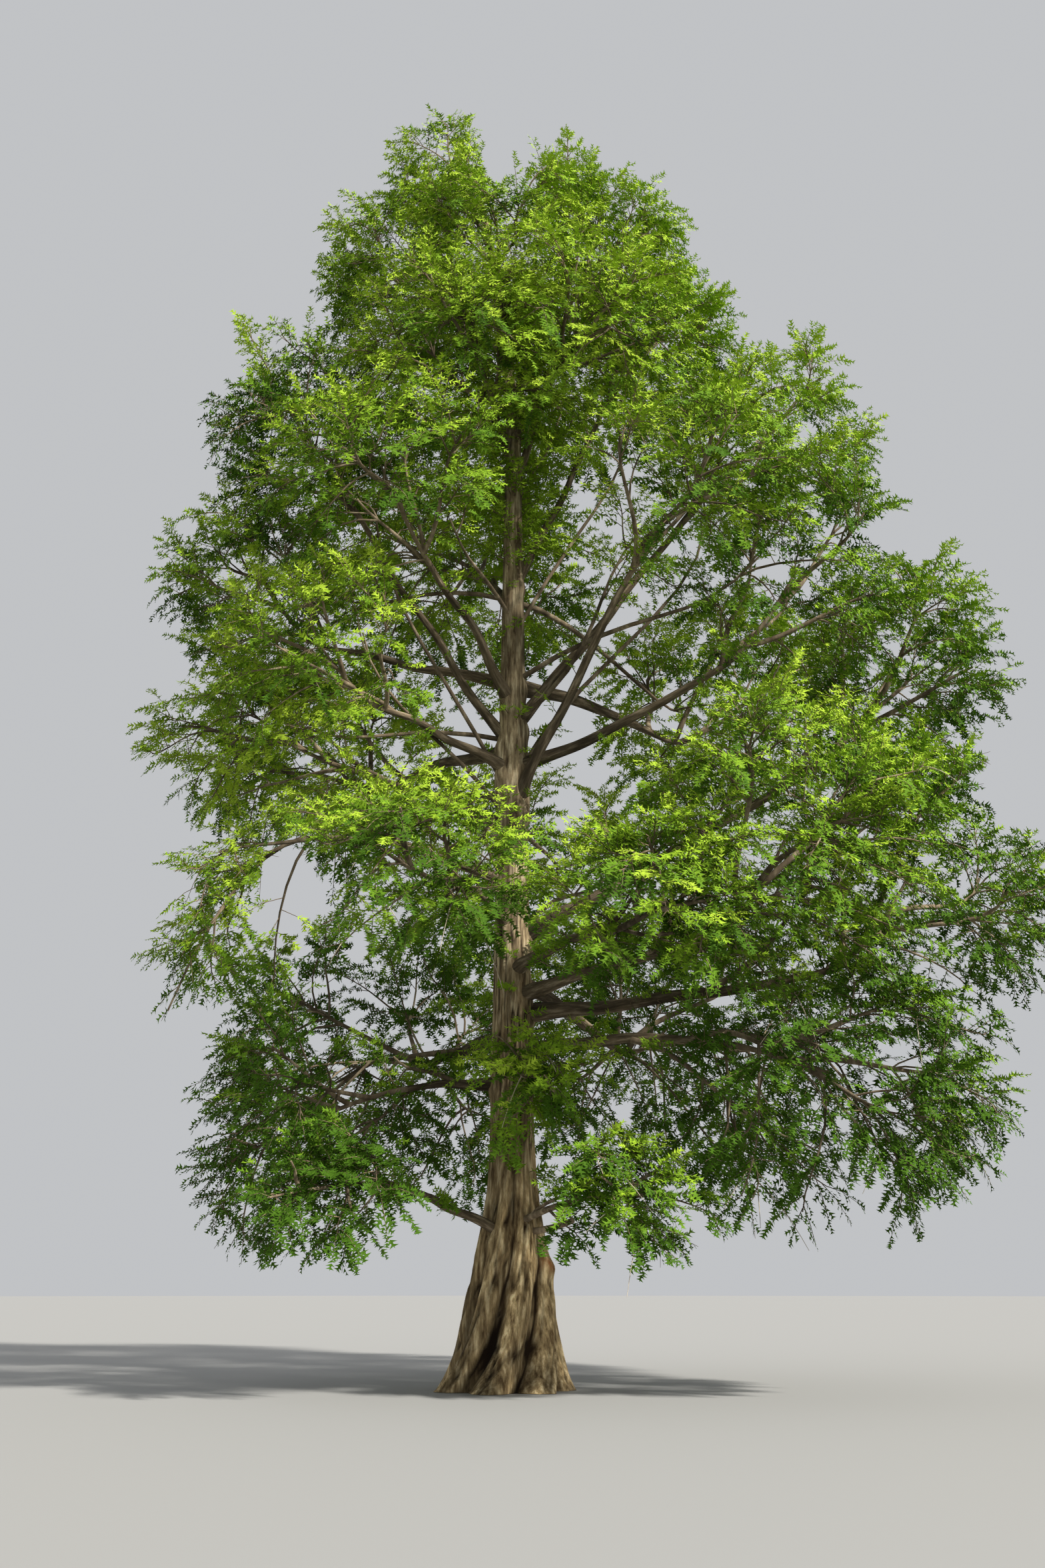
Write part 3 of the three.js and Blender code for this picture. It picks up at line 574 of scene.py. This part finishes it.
# growth: forks and branches from the stems, twigs from the branches, sprays from the twigs
growth = {"seed": 7919, "noneBelow": 8.0, "clumpAt": 0.85, "trunkClear": 0.12, "gapMargin": 1.3,
          "longer": 1.15, "shortened": 0.72, "shortenings": 3, "crook": 0.34, "arch": 0.07,
          "earlyBend": 0.32, "lateBend": 0.70, "evenness": 0.4, "lastLean": 0.75,
          "leastDroop": 0.4, "mostDroop": 1.2}
forkRule = {"count": 6, "highest": 0.8, "lowest": -0.5, "turn": 2.0, "reach": 0.6, "first": -0.5,
            "firstAlone": 0.1, "last": 0.85, "above": 1.7, "under": -1.02, "flat": 0.12, "lateFlat": 0.036,
            "gapChecks": (0.5, 0.75, 1.0)}
branchRule = {"perBulk": 5.7, "openPerBulk": 5.2, "highest": 0.97, "lowest": -0.88, "shortLeast": 0.45,
              "shortMost": 1.2, "leastReach": 0.35, "buriedWithin": 1.6, "buriedLow": 0.45,
              "buriedHigh": 0.95, "openBelow": 13.0, "closedAbove": 16.5, "runShare": 0.45,
              "shortest": 0.9, "shortCost": 3, "sag": 0.03, "onward": 0.12, "gapCheck": 0.65,
              "buriedRise": 0.35, "buriedDepth": 0.05, "startsAt": (0.1, 0.9, 9)}
twigRule = {"perMetre": 3.6, "least": 10, "first": 0.28, "last": 1.0, "lean": (0.7, 1.35), "roll": 1.2,
            "droop": -0.12, "length": 0.86, "tipShare": 0.7, "spread": 0.5, "arch": 0.10, "sag": 0.14}
sprayRule = {"seed": 404, "perMetre": 17.2, "least": 6, "first": 0.12, "last": 1.0, "lean": (0.6, 1.2),
             "roll": 0.9, "droop": 0.22, "length": 0.202, "tipShare": 0.8, "spread": 0.6, "pastWall": 0.1}
leaderRule = {"perMetre": 11.0, "least": 14, "first": 0.15, "last": 1.0, "lean": (0.8, 1.2), "roll": 3.1,
              "droop": 0.0, "length": 0.8, "tipShare": 0.22, "spread": 0.3, "arch": 0.02, "sag": 0.10,
              "clumpBelow": 0.3, "paler": 0.5}
tuftRule = {"seed": 5, "perMetre": 1.5, "least": 1, "first": 0.35, "last": 0.98, "lean": (0.9, 1.3),
            "roll": 1.3, "droop": 0.0, "length": 0.55, "tipShare": 1.2, "spread": 0.6, "arch": 0.04,
            "sag": 0.15, "paler": 0.3}
shootRule = {"count": 210, "from": 2.7, "to": 17.8, "crowdShare": 0.5, "crowdFrom": 14.3, "crowdTo": 17.6,
             "crowdLonger": 1.9, "least": 0.25, "most": 0.75, "rise": 0.25, "sunk": 0.9}


def sprout(paths, rule, dice):
    # children of every path, left and right in turn, leaning away from it and hanging or rising a little
    lengths = np.linalg.norm(paths[:, -1] - paths[:, 0], axis=1)
    counts = np.maximum(rule["least"], np.round(lengths * rule["perMetre"])).astype(int)
    parent = np.repeat(np.arange(len(paths)), counts)
    index = np.arange(len(parent)) - np.repeat(np.cumsum(counts) - counts, counts)
    chance, even = dice.random((6, len(parent))), growth["evenness"]
    share = mix(rule["first"], rule["last"], (index + even + (1 - even) * chance[0]) / counts[parent])
    start, along = pathPoint(paths[parent], share), pathCourse(paths[parent], share)
    side = unit(np.cross(up, along) + 1e-4)
    over = np.cross(along, side)
    turn = np.where(index % 2, 1.0, -1.0)
    roll = rule["roll"] * (2 * chance[1] - 1)
    lean = mix(*rule["lean"], chance[2]) * (1 - growth["lastLean"] * share ** 4)  # the last ones lean least
    outward = side * (turn * np.cos(roll))[:, None] + over * np.sin(roll)[:, None]
    course = along * np.cos(lean)[:, None] + outward * np.sin(lean)[:, None]
    hang = growth["leastDroop"] + growth["mostDroop"] * chance[3]
    course = unit(course - up * rule["droop"] * hang[:, None])
    length = rule["length"] * mix(1, rule["tipShare"], share) * (1 + rule["spread"] * (chance[4] - 0.5))
    return start, course, length, parent, share


def curved(start, course, length, rule):
    reach = length[:, None]
    middle = start + course * reach / 2 + up * rule["arch"] * reach
    return np.stack([start, middle, start + course * reach - up * rule["sag"] * reach], 1)


def clearOfTrunk(points):
    middle = trunkMiddle(np.clip(points[:, 2], 0, trunk["fullHeight"]))
    radius = trunkRadius(np.clip(points[:, 2], 0, trunk["tip"]), 0.0)
    radius = np.where(points[:, 2] < trunk["tip"], radius, 0)
    return np.linalg.norm(points[:, :2] - middle[:, :2], axis=1) > radius + growth["trunkClear"]


def spread(count, highest, lowest, turn):
    # directions spread evenly round a middle by the golden angle, from the top down
    step = np.arange(count)
    tall = mix(highest, lowest, (step + 0.5) / count)
    level = np.sqrt(1 - tall ** 2)
    around = turn + step * goldenAngle
    return np.stack([level * np.cos(around), level * np.sin(around), tall], -1)


def wandering(start, end, leaning, dice):
    # limbs that arch over, swing one way and then the other, and turn up at the end
    length = np.linalg.norm(end - start, axis=1)[:, None]
    swing = growth["crook"] * (dice.random((len(end), 3)) - 0.5)
    early = mix(start, end, growth["earlyBend"]) + (leaning + swing + growth["arch"] * up) * length
    late = mix(start, end, growth["lateBend"]) + (leaning - swing - growth["arch"] * up) * length
    return np.stack([start, early, late, end], 1)


def forksOf(mass, order, dice):
    # the limbs inside a mass: they part from its bough and stem, those that lean back the earliest
    middle = mass["middle"] + limbRule["raised"] * mass["tall"] * up
    course = spread(forkRule["count"], forkRule["highest"], forkRule["lowest"], forkRule["turn"] * order)
    end = middle + course * (forkRule["reach"] * roomAhead(mass, middle, course))[:, None]
    stem = stemPath(mass)
    forward = (course @ pathCourse(stem, 0.5) + 1) / 2
    share = mix(forkRule["first" if mass["bough"] else "firstAlone"], forkRule["last"], forward)
    start = pathPoint(stem, np.clip(share, 0, 1))
    if mass["bough"]:
        start = np.where((share < 0)[:, None], pathPoint(boughPath(mass), np.clip(1 + share, 0, 1)), start)
        first = np.argmin(share)  # this one comes straight from the trunk, above or under the bough
        if mass["foot"] > growth["noneBelow"]:
            start[first] = trunkMiddle(mass["foot"] + forkRule["under" if order % 2 else "above"])
    flat = np.where(share < 0, forkRule["flat"], forkRule["lateFlat"])
    forks = wandering(start, end, mass["outward"] * flat[:, None], dice)
    crossing = inGap(pathPoint(forks[:, None], np.array([forkRule["gapChecks"]])), growth["gapMargin"])
    return forks[~crossing.any(1)]


def branchesOf(mass, order, forks, dice):
    # every branch ends in a clump of twigs, and grows from the place on stem and forks that suits it best
    rule = branchRule
    perBulk = rule["perBulk" if mass["dense"] else "openPerBulk"]
    count = int(round(perBulk * mass["bulk"] * mass["leafy"]))
    course = spread(count, rule["highest"], rule["lowest"], order)
    middle = mass["middle"] + limbRule["raised"] * mass["tall"] * up
    room = roomAhead(mass, middle, course, mass["overWall"])
    short = mix(rule["shortLeast"], rule["shortMost"], dice.random(count))
    reach = np.maximum(room - short, rule["leastReach"] * room)
    end = middle + course * reach[:, None]
    # fewer of them where another mass hides them from outside, most of all below the closed top of the crown
    ahead = end + rule["buriedWithin"] * unit(unit(end * [1, 1, 0]) + rule["buriedRise"] * up)
    buried = np.any([depthInside(other, ahead) > rule["buriedDepth"] for other in masses], axis=0)
    closed = np.clip((end[:, 2] - rule["openBelow"]) / (rule["closedAbove"] - rule["openBelow"]), 0, 1)
    keep = ~buried | (dice.random(count) < mix(rule["buriedLow"], rule["buriedHigh"], closed))
    keep &= ~inGap(end, growth["gapMargin"])
    reach, end = reach[keep], end[keep]
    carriers = np.concatenate([twiceBent(stemPath(mass))[None], forks])
    shares = np.linspace(*rule["startsAt"])[None, :]
    places = pathPoint(carriers[:, None], shares).reshape(-1, 3)
    courses = pathCourse(carriers[:, None], shares).reshape(-1, 3)
    apart = np.linalg.norm(end[:, None] - places[None], axis=2)
    run = np.linalg.norm(places - carriers[0, 0], axis=1)
    tooShort = np.maximum(0, rule["shortest"] - apart)
    best = np.argmin(apart + rule["runShare"] * run[None] + rule["shortCost"] * tooShort, axis=1)
    end = end - up * rule["sag"] * reach[:, None]
    limbs = wandering(places[best], end, rule["onward"] * courses[best], dice)
    return limbs[~inGap(pathPoint(limbs, np.full(len(limbs), rule["gapCheck"])))]


def growMass(mass, order):
    dice = np.random.default_rng(growth["seed"] * (order + 1))
    forks = forksOf(mass, order, dice)
    branches = branchesOf(mass, order, forks, dice)
    carriers = branches
    if not mass["dense"]:  # an open mass's stem runs out to its edge, and carries twigs too
        carriers = np.concatenate([branches, twiceBent(np.array([stemPath(mass)]))])
    start, course, length, parent = sprout(carriers, twigRule, dice)[:4]
    for shortening in range(growth["shortenings"]):  # twigs that would leave are shortened, or left out
        leaves = ~isInside(mass, start + course * length[:, None] * growth["longer"], mass["overWall"])
        length = np.where(leaves, length * growth["shortened"], length)
    ends = start + course * length[:, None]
    keep = isInside(mass, ends, mass["overWall"]) & clearOfTrunk(ends) & clearOfTrunk(start) & ~inGap(ends)
    twigs = curved(start[keep], course[keep], length[keep], twigRule)
    clumps = pathPoint(carriers[parent[keep]], np.full(len(twigs), growth["clumpAt"]))
    paler = dice.random(len(carriers))[parent[keep]]
    owner = np.full(len(twigs), order)
    if mass["leader"]:
        stem, top = stemPath(mass), mass["middle"] + np.array(mass["leader"])
        leader = twiceBent(np.array([[stem[2], mix(stem[2], top, 0.5), top]]))
        start, course, length = sprout(leader, leaderRule, dice)[:3]
        branches = np.concatenate([branches, leader])
        twigs = np.concatenate([twigs, curved(start, course, length, leaderRule)])
        clumps = np.concatenate([clumps, start - leaderRule["clumpBelow"] * up])
        paler = np.append(paler, np.full(len(start), leaderRule["paler"]))
        owner = np.append(owner, np.full(len(start), -1))
    return forks, branches, twigs, clumps, paler, owner


def growTufts():
    # short shoots on the bare stretches of the boughs, most on the low ones, and up the trunk
    dice = np.random.default_rng(tuftRule["seed"])
    carriers = [mass for mass in masses if mass["bough"]]
    low = [mass for mass in carriers if mass["foot"] < growth["noneBelow"]]
    boughs = np.array([boughPath(mass) for mass in carriers + low + low])
    start, course, length = sprout(boughs, tuftRule, dice)[:3]
    onBoughs = curved(start, course, length, tuftRule)
    rule, count = shootRule, shootRule["count"]
    height, turn = mix(rule["from"], rule["to"], dice.random(count)), 2 * math.pi * dice.random(count)
    crowded = dice.random(count) < rule["crowdShare"]
    height = np.where(crowded, mix(rule["crowdFrom"], rule["crowdTo"], dice.random(count)), height)
    outward = np.stack([np.cos(turn), np.sin(turn), rule["rise"] + 0 * turn], -1)
    start = trunkMiddle(height) + outward * (trunkRadius(height, turn) * rule["sunk"])[:, None] * [1, 1, 0]
    length = mix(rule["least"], rule["most"], dice.random(count))
    length = length * np.where(height > rule["crowdFrom"], rule["crowdLonger"], 1)
    return np.concatenate([onBoughs, curved(start, unit(outward), length, tuftRule)])


grown = [growMass(mass, order) for order, mass in enumerate(masses)]
forkCounts = [len(limbs[0]) for limbs in grown]
stems = twiceBent(np.array([stemPath(mass) for mass in masses]))
forks, branches, twigs, clumps, paler, owners = [np.concatenate(kind) for kind in zip(*grown)]
tufts = growTufts()
twigs, clumps = np.concatenate([twigs, tufts]), np.concatenate([clumps, tufts[:, 0]])
paler = np.append(paler, np.full(len(tufts), tuftRule["paler"]))
owners = np.append(owners, np.full(len(tufts), -1))
print("grown:", len(branches), "branches,", len(twigs), "twigs")


# Geometry Nodes: a round limb along every path, and a spray at every point
def newTree(name, inputs):
    tree = bpy.data.node_groups.new(name, "GeometryNodeTree")
    sockets = {}
    for label, kind in inputs:
        sockets[label] = tree.interface.new_socket(name=label, in_out="INPUT", socket_type=kind)
    tree.interface.new_socket(name="Geometry", in_out="OUTPUT", socket_type="NodeSocketGeometry")
    return tree, sockets, tree.nodes.new("NodeGroupInput").outputs


def namedAttribute(tree, name, kind):
    node = tree.nodes.new("GeometryNodeInputNamedAttribute")
    node.data_type = kind
    node.inputs["Name"].default_value = name
    return node.outputs["Attribute"]


def product(tree, first, second):
    node = tree.nodes.new("ShaderNodeMath")
    node.operation = "MULTIPLY"
    setInputs(tree, node, {0: first, 1: second})
    return node.outputs[0]


def endTree(tree, shape, paint):
    # every tree ends in real meshes that carry their material
    whole = addNode(tree, "GeometryNodeRealizeInstances", {"Geometry": shape})["Geometry"]
    painted = addNode(tree, "GeometryNodeSetMaterial", {"Geometry": whole, "Material": paint})["Geometry"]
    addNode(tree, "NodeGroupOutput", {"Geometry": painted})


def limbTree():
    tree, sockets, source = newTree("limbsAlongPaths", [
        ("Geometry", "NodeSocketGeometry"), ("Sides", "NodeSocketInt"), ("Thickness", "NodeSocketFloat"),
        ("Bark", "NodeSocketMaterial")])
    line = addNode(tree, "GeometryNodeMeshToCurve", {"Mesh": source["Geometry"]})["Curve"]
    circle = addNode(tree, "GeometryNodeCurvePrimitiveCircle", {"Resolution": source["Sides"], "Radius": 1.0})
    girth = product(tree, namedAttribute(tree, "girth", "FLOAT"), source["Thickness"])
    tube = addNode(tree, "GeometryNodeCurveToMesh", {
        "Curve": line, "Profile Curve": circle["Curve"], "Scale": girth, "Fill Caps": True})["Mesh"]
    endTree(tree, tube, source["Bark"])
    return tree, sockets


def sprayTree():
    tree, sockets, source = newTree("spraysOnTwigs", [
        ("Geometry", "NodeSocketGeometry"), ("Spray", "NodeSocketObject"), ("Size", "NodeSocketFloat"),
        ("Needles", "NodeSocketMaterial")])
    spray = addNode(tree, "GeometryNodeObjectInfo", {"Object": source["Spray"]})["Geometry"]
    turn = namedAttribute(tree, "turn", "FLOAT_VECTOR")
    turn = addNode(tree, "FunctionNodeEulerToRotation", {"Euler": turn})["Rotation"]
    size = product(tree, namedAttribute(tree, "length", "FLOAT"), source["Size"])
    placed = addNode(tree, "GeometryNodeInstanceOnPoints", {
        "Points": source["Geometry"], "Instance": spray, "Rotation": turn, "Scale": size})["Instances"]
    endTree(tree, placed, source["Needles"])
    return tree, sockets


def bakeNodes(name, mesh, tree, sockets, values):
    # runs the tree on the mesh and keeps only the plain mesh that comes out
    carrier = bpy.data.objects.new(name, mesh)
    scene.collection.objects.link(carrier)
    grow = carrier.modifiers.new("grow", "NODES")
    grow.node_group = tree
    for label, value in values.items():
        grow[sockets[label].identifier] = value
    graph = bpy.context.evaluated_depsgraph_get()
    baked = bpy.data.meshes.new_from_object(carrier.evaluated_get(graph), depsgraph=graph)
    bpy.data.objects.remove(carrier)
    bpy.data.meshes.remove(mesh)
    baked.name = name
    passing = ("girth", "turn", "length", "radius", "tilt")
    for extra in [each.name for each in baked.attributes if each.name in passing]:
        baked.attributes.remove(baked.attributes[extra])
    return baked


def pathMesh(paths, girthBase, girthTip, steps):
    # every path as a row of edges that carries the limb's radius
    share = np.linspace(0, 1, steps)
    points = pathPoint(paths[:, None], share[None, :]).reshape(-1, 3)
    first = (np.arange(len(paths))[:, None] * steps + np.arange(steps - 1)[None, :]).ravel()
    mesh = pointMesh("paths", points)
    mesh.edges.add(len(first))
    mesh.edges.foreach_set("vertices", np.stack([first, first + 1], -1).astype(np.int32).ravel())
    setValues(mesh, "girth", mix(girthBase[:, None], girthTip[:, None], share[None, :]).ravel())
    return mesh


limbNodes, limbSockets = limbTree()
foliageNodes = ["foliage_" + mass["name"] for mass in masses]


def addLimbs(name, paths, base, tip, look, bark):
    baked = bakeNodes(name, pathMesh(paths, base, tip, look["steps"]), limbNodes, limbSockets,
                      {"Sides": look["sides"], "Thickness": 1.0, "Bark": bark})
    addPiece(name, baked, foliageNodes)
    print(name, len(baked.polygons), "faces")


branchLook = {"sides": 6, "steps": 7, "girthPerMetre": 0.0065, "least": 0.011, "tipShare": 0.35}


def makeBranches():
    length = np.linalg.norm(branches[:, -1] - branches[:, 0], axis=1)
    base = branchLook["least"] + branchLook["girthPerMetre"] * length
    addLimbs("branch_bark", branches, base, base * branchLook["tipShare"], branchLook, barks["branchBark"])


# the stems and forks inside the masses, and a short broken limb low on the trunk
stemLook = {"sides": 10, "steps": 9, "aloneShare": 0.8, "forkShare": 0.46, "tipShare": 0.35,
            "brokenPath": ((0.40, -0.30, 2.42), (0.80, -0.58, 2.44), (1.12, -0.78, 2.58)),
            "brokenGirth": 0.058, "brokenTipShare": 0.8}


def makeStems():
    look, girths = stemLook, np.array([mass["girth"] / 2 for mass in masses])
    shares = [limbRule["tipShare"] if mass["bough"] else look["aloneShare"] for mass in masses]
    base = np.concatenate([girths * shares, look["forkShare"] * np.repeat(girths, forkCounts),
                           [look["brokenGirth"]]])
    tip = base * np.append(np.full(len(base) - 1, look["tipShare"]), look["brokenTipShare"])
    broken = twiceBent(np.array([look["brokenPath"]]))
    addLimbs("stem_bark", np.concatenate([stems, forks, broken]), base, tip, look, barks["branchBark"])


twigLook = {"sides": 3, "steps": 3, "girth": 0.0085, "tipShare": 0.4}


def makeTwigs():
    base = np.full(len(twigs), twigLook["girth"])
    addLimbs("twigs", twigs, base, base * twigLook["tipShare"], twigLook, barks["twigBark"])


# pale dead twigs without needles, out of the low masses in front
bareLook = {"masses": ("low_front", "low_front_right", "front_left", "right_front", "low_right"), "count": 34,
            "nearest": -5.2, "farthest": -1.5, "from": (-1, -1, -1.25), "to": (1, 0, -0.25),
            "length": (0.6, 1.15), "girth": 0.010, "tipShare": 0.35, "sides": 5, "steps": 7, "seed": 61}


def makeBareTwigs():
    look, dice = bareLook, np.random.default_rng(bareLook["seed"])
    low = [order for order, mass in enumerate(masses) if mass["name"] in look["masses"]]
    inFront = (twigs[:, 0, 1] < look["farthest"]) & (twigs[:, 2, 1] > look["nearest"])
    places = np.where(np.isin(owners, low) & inFront)[0]
    start = twigs[dice.choice(places, look["count"], replace=False), 0]
    course = unit(mix(np.array(look["from"]), np.array(look["to"]), dice.random((len(start), 3))))
    paths = curved(start, course, mix(*look["length"], dice.random(len(start))), twigRule)
    base = np.full(len(paths), look["girth"])
    addLimbs("bare_twigs", paths, base, base * look["tipShare"], look, barks["deadBark"])


makeBranches()
makeStems()
makeTwigs()
makeBareTwigs()

# sprays of needles, dealt out over five greens, darkest to lightest, by painted light and shade, young growth,
# clump and chance
sprayLook = {"firstSeed": 100, "pairs": 3, "first": 0.0, "last": 0.88, "needle": 0.47, "width": 0.215,
             "lean": 0.98, "leanSpread": 0.4, "footSpread": 0.06, "endFoot": 0.55, "rise": 0.30,
             "droop": 0.12, "tilt": 1.0, "middle": 0.7, "middleScale": 1.7, "shorter": 0.45,
             "shorterPower": 1.6}
# outer sprays are lighter, as young growth and as painted shade deeper inside (outer), and twig tips are paler
# as young growth (tip)
# the tone is painted light high in a mass (high) and on clump tops (onTop), and painted shade under clumps and
# low down (low)
needleTone = {"clumpSize": 0.55, "clump": 0.52, "onTop": 0.50, "tip": 0.2, "outer": 0.35, "high": 0.2,
              "chance": 0.22, "low": 0.3, "lowBelow": 8, "stray": 0.35}
needleFacing = {"up": 0.5, "away": 0.65, "fromClump": 0.45, "chance": 0.60}
needleGloss = {"roughness": 0.62, "specular": 0.05}
# five greens from darkest to lightest, dealt by rank of tone, so they stand partly for painted shade and
# painted light
greens = {
    "needles_shade": (0.054, 0.122, 0.010),
    "needles_deep": (0.108, 0.212, 0.015),
    "needles_mid": (0.180, 0.310, 0.020),
    "needles_fresh": (0.255, 0.405, 0.026),
    "needles_young": (0.345, 0.492, 0.040),
}


def sprayMesh(seed):
    # one spray of unit length: pairs of needles, longest in the middle, and one at the end
    look, dice = sprayLook, np.random.default_rng(seed)
    half = look["width"] / 2
    points = [[look["endFoot"], half, 0], [look["endFoot"], -half, 0], [1.0, 0, -look["droop"]]]
    faces = [[1, 2, 0]]
    for i in range(look["pairs"]):
        share = mix(look["first"], look["last"], (i + 0.5) / look["pairs"])
        offMiddle = abs(look["middleScale"] * share - look["middle"])
        size = look["needle"] * (1 - look["shorter"] * offMiddle ** look["shorterPower"])
        for side in (-1, 1):
            lean = look["lean"] + look["leanSpread"] * (dice.random() - 0.5)
            foot = share + look["footSpread"] * side * (dice.random() - 0.5)
            z = -look["droop"] * foot ** 2
            rise = z + look["rise"] * size * (2 * dice.random() - 1)
            tip = [foot + size * math.cos(lean), side * size * math.sin(lean), rise]
            tilt = look["tilt"] * (dice.random() - 0.5)  # each needle turned a little on its own axis
            along, lift = half * math.cos(tilt), half * math.sin(tilt)
            start = len(points)
            points += [[foot - along, 0, z - lift], [foot + along, 0, z + lift], tip]
            faces.append([start, start + 1, start + 2] if side > 0 else [start + 1, start, start + 2])
    return meshFrom("spray", np.array(points, float), np.array(faces), None)


def makeNeedles():
    dice, tones = np.random.default_rng(sprayRule["seed"]), needleTone
    start, course, length, parent, share = sprout(twigs, sprayRule, dice)
    owner, tips = owners[parent], start + course * length[:, None]
    keep = clearOfTrunk(tips) & ~inGap(tips)
    tone = np.full(len(parent), tones["stray"])
    for order, mass in enumerate(masses):
        mine = np.where(owner == order)[0]
        keep[mine] &= isInside(mass, tips[mine], mass["overWall"] + sprayRule["pastWall"])
        high = (tips[mine, 2] - mass["middle"][2]) / mass["tall"]
        # lighter out at the edge, as young growth and as painted shade deeper inside, and lighter higher up as
        # painted light
        tone[mine] = tones["outer"] * (1 - depthInside(mass, tips[mine])) + tones["high"] * high
        # each mass's own shift of the greens: painted light and painted shade where sun and shadow fall on it,
        # and paler young growth
        tone[mine] += mass["fresh"]
    fromClump = (start - clumps[parent]) / tones["clumpSize"]
    # painted light on the tops of clumps and painted shade under them, and paler twig tips as young growth
    tone += tones["onTop"] * np.clip(fromClump[:, 2], -1, 1) + tones["tip"] * share
    tone += tones["clump"] * (paler[parent] - 0.5)
    tone += tones["chance"] * dice.random(len(tone))
    # painted shade low in the crown
    tone -= tones["low"] * np.clip(1 - start[:, 2] / tones["lowBelow"], 0, 1)
    away = unit((start - trunkMiddle(np.clip(start[:, 2], 0, trunk["fullHeight"]))) * [1, 1, 0])
    facing = needleFacing["up"] * up + needleFacing["away"] * away
    facing = facing + needleFacing["fromClump"] * np.clip(fromClump, -1, 1)
    facing = facing + needleFacing["chance"] * (dice.random((len(parent), 3)) - 0.5)
    facing = unit(facing - np.sum(facing * course, 1)[:, None] * course)
    side = np.cross(facing, course)
    turn = np.stack([np.arctan2(side[:, 2], facing[:, 2]), -np.arcsin(np.clip(course[:, 2], -1, 1)),
                     np.arctan2(course[:, 1], course[:, 0])], -1)
    start, turn, length, tone = start[keep], turn[keep], length[keep], tone[keep]
    ranks = np.argsort(np.argsort(tone)) / len(tone)
    tree, sockets = sprayTree()
    for i, (name, colour) in enumerate(greens.items()):
        mine = (ranks >= i / len(greens)) & (ranks < (i + 1) / len(greens))
        material, shader = plainMaterial(name, colour, needleGloss["roughness"])
        shader.inputs["Specular IOR Level"].default_value = needleGloss["specular"]
        spray = bpy.data.objects.new("spray", sprayMesh(sprayLook["firstSeed"] + i))
        points = pointMesh("points", start[mine])
        setVectors(points, "turn", turn[mine])
        setValues(points, "length", length[mine])
        baked = bakeNodes(name, points, tree, sockets, {"Spray": spray, "Size": 1.0, "Needles": material})
        bpy.data.objects.remove(spray)
        addPiece(name, baked, foliageNodes)
        print(name, int(mine.sum()), "sprays,", len(baked.polygons), "faces")


makeNeedles()
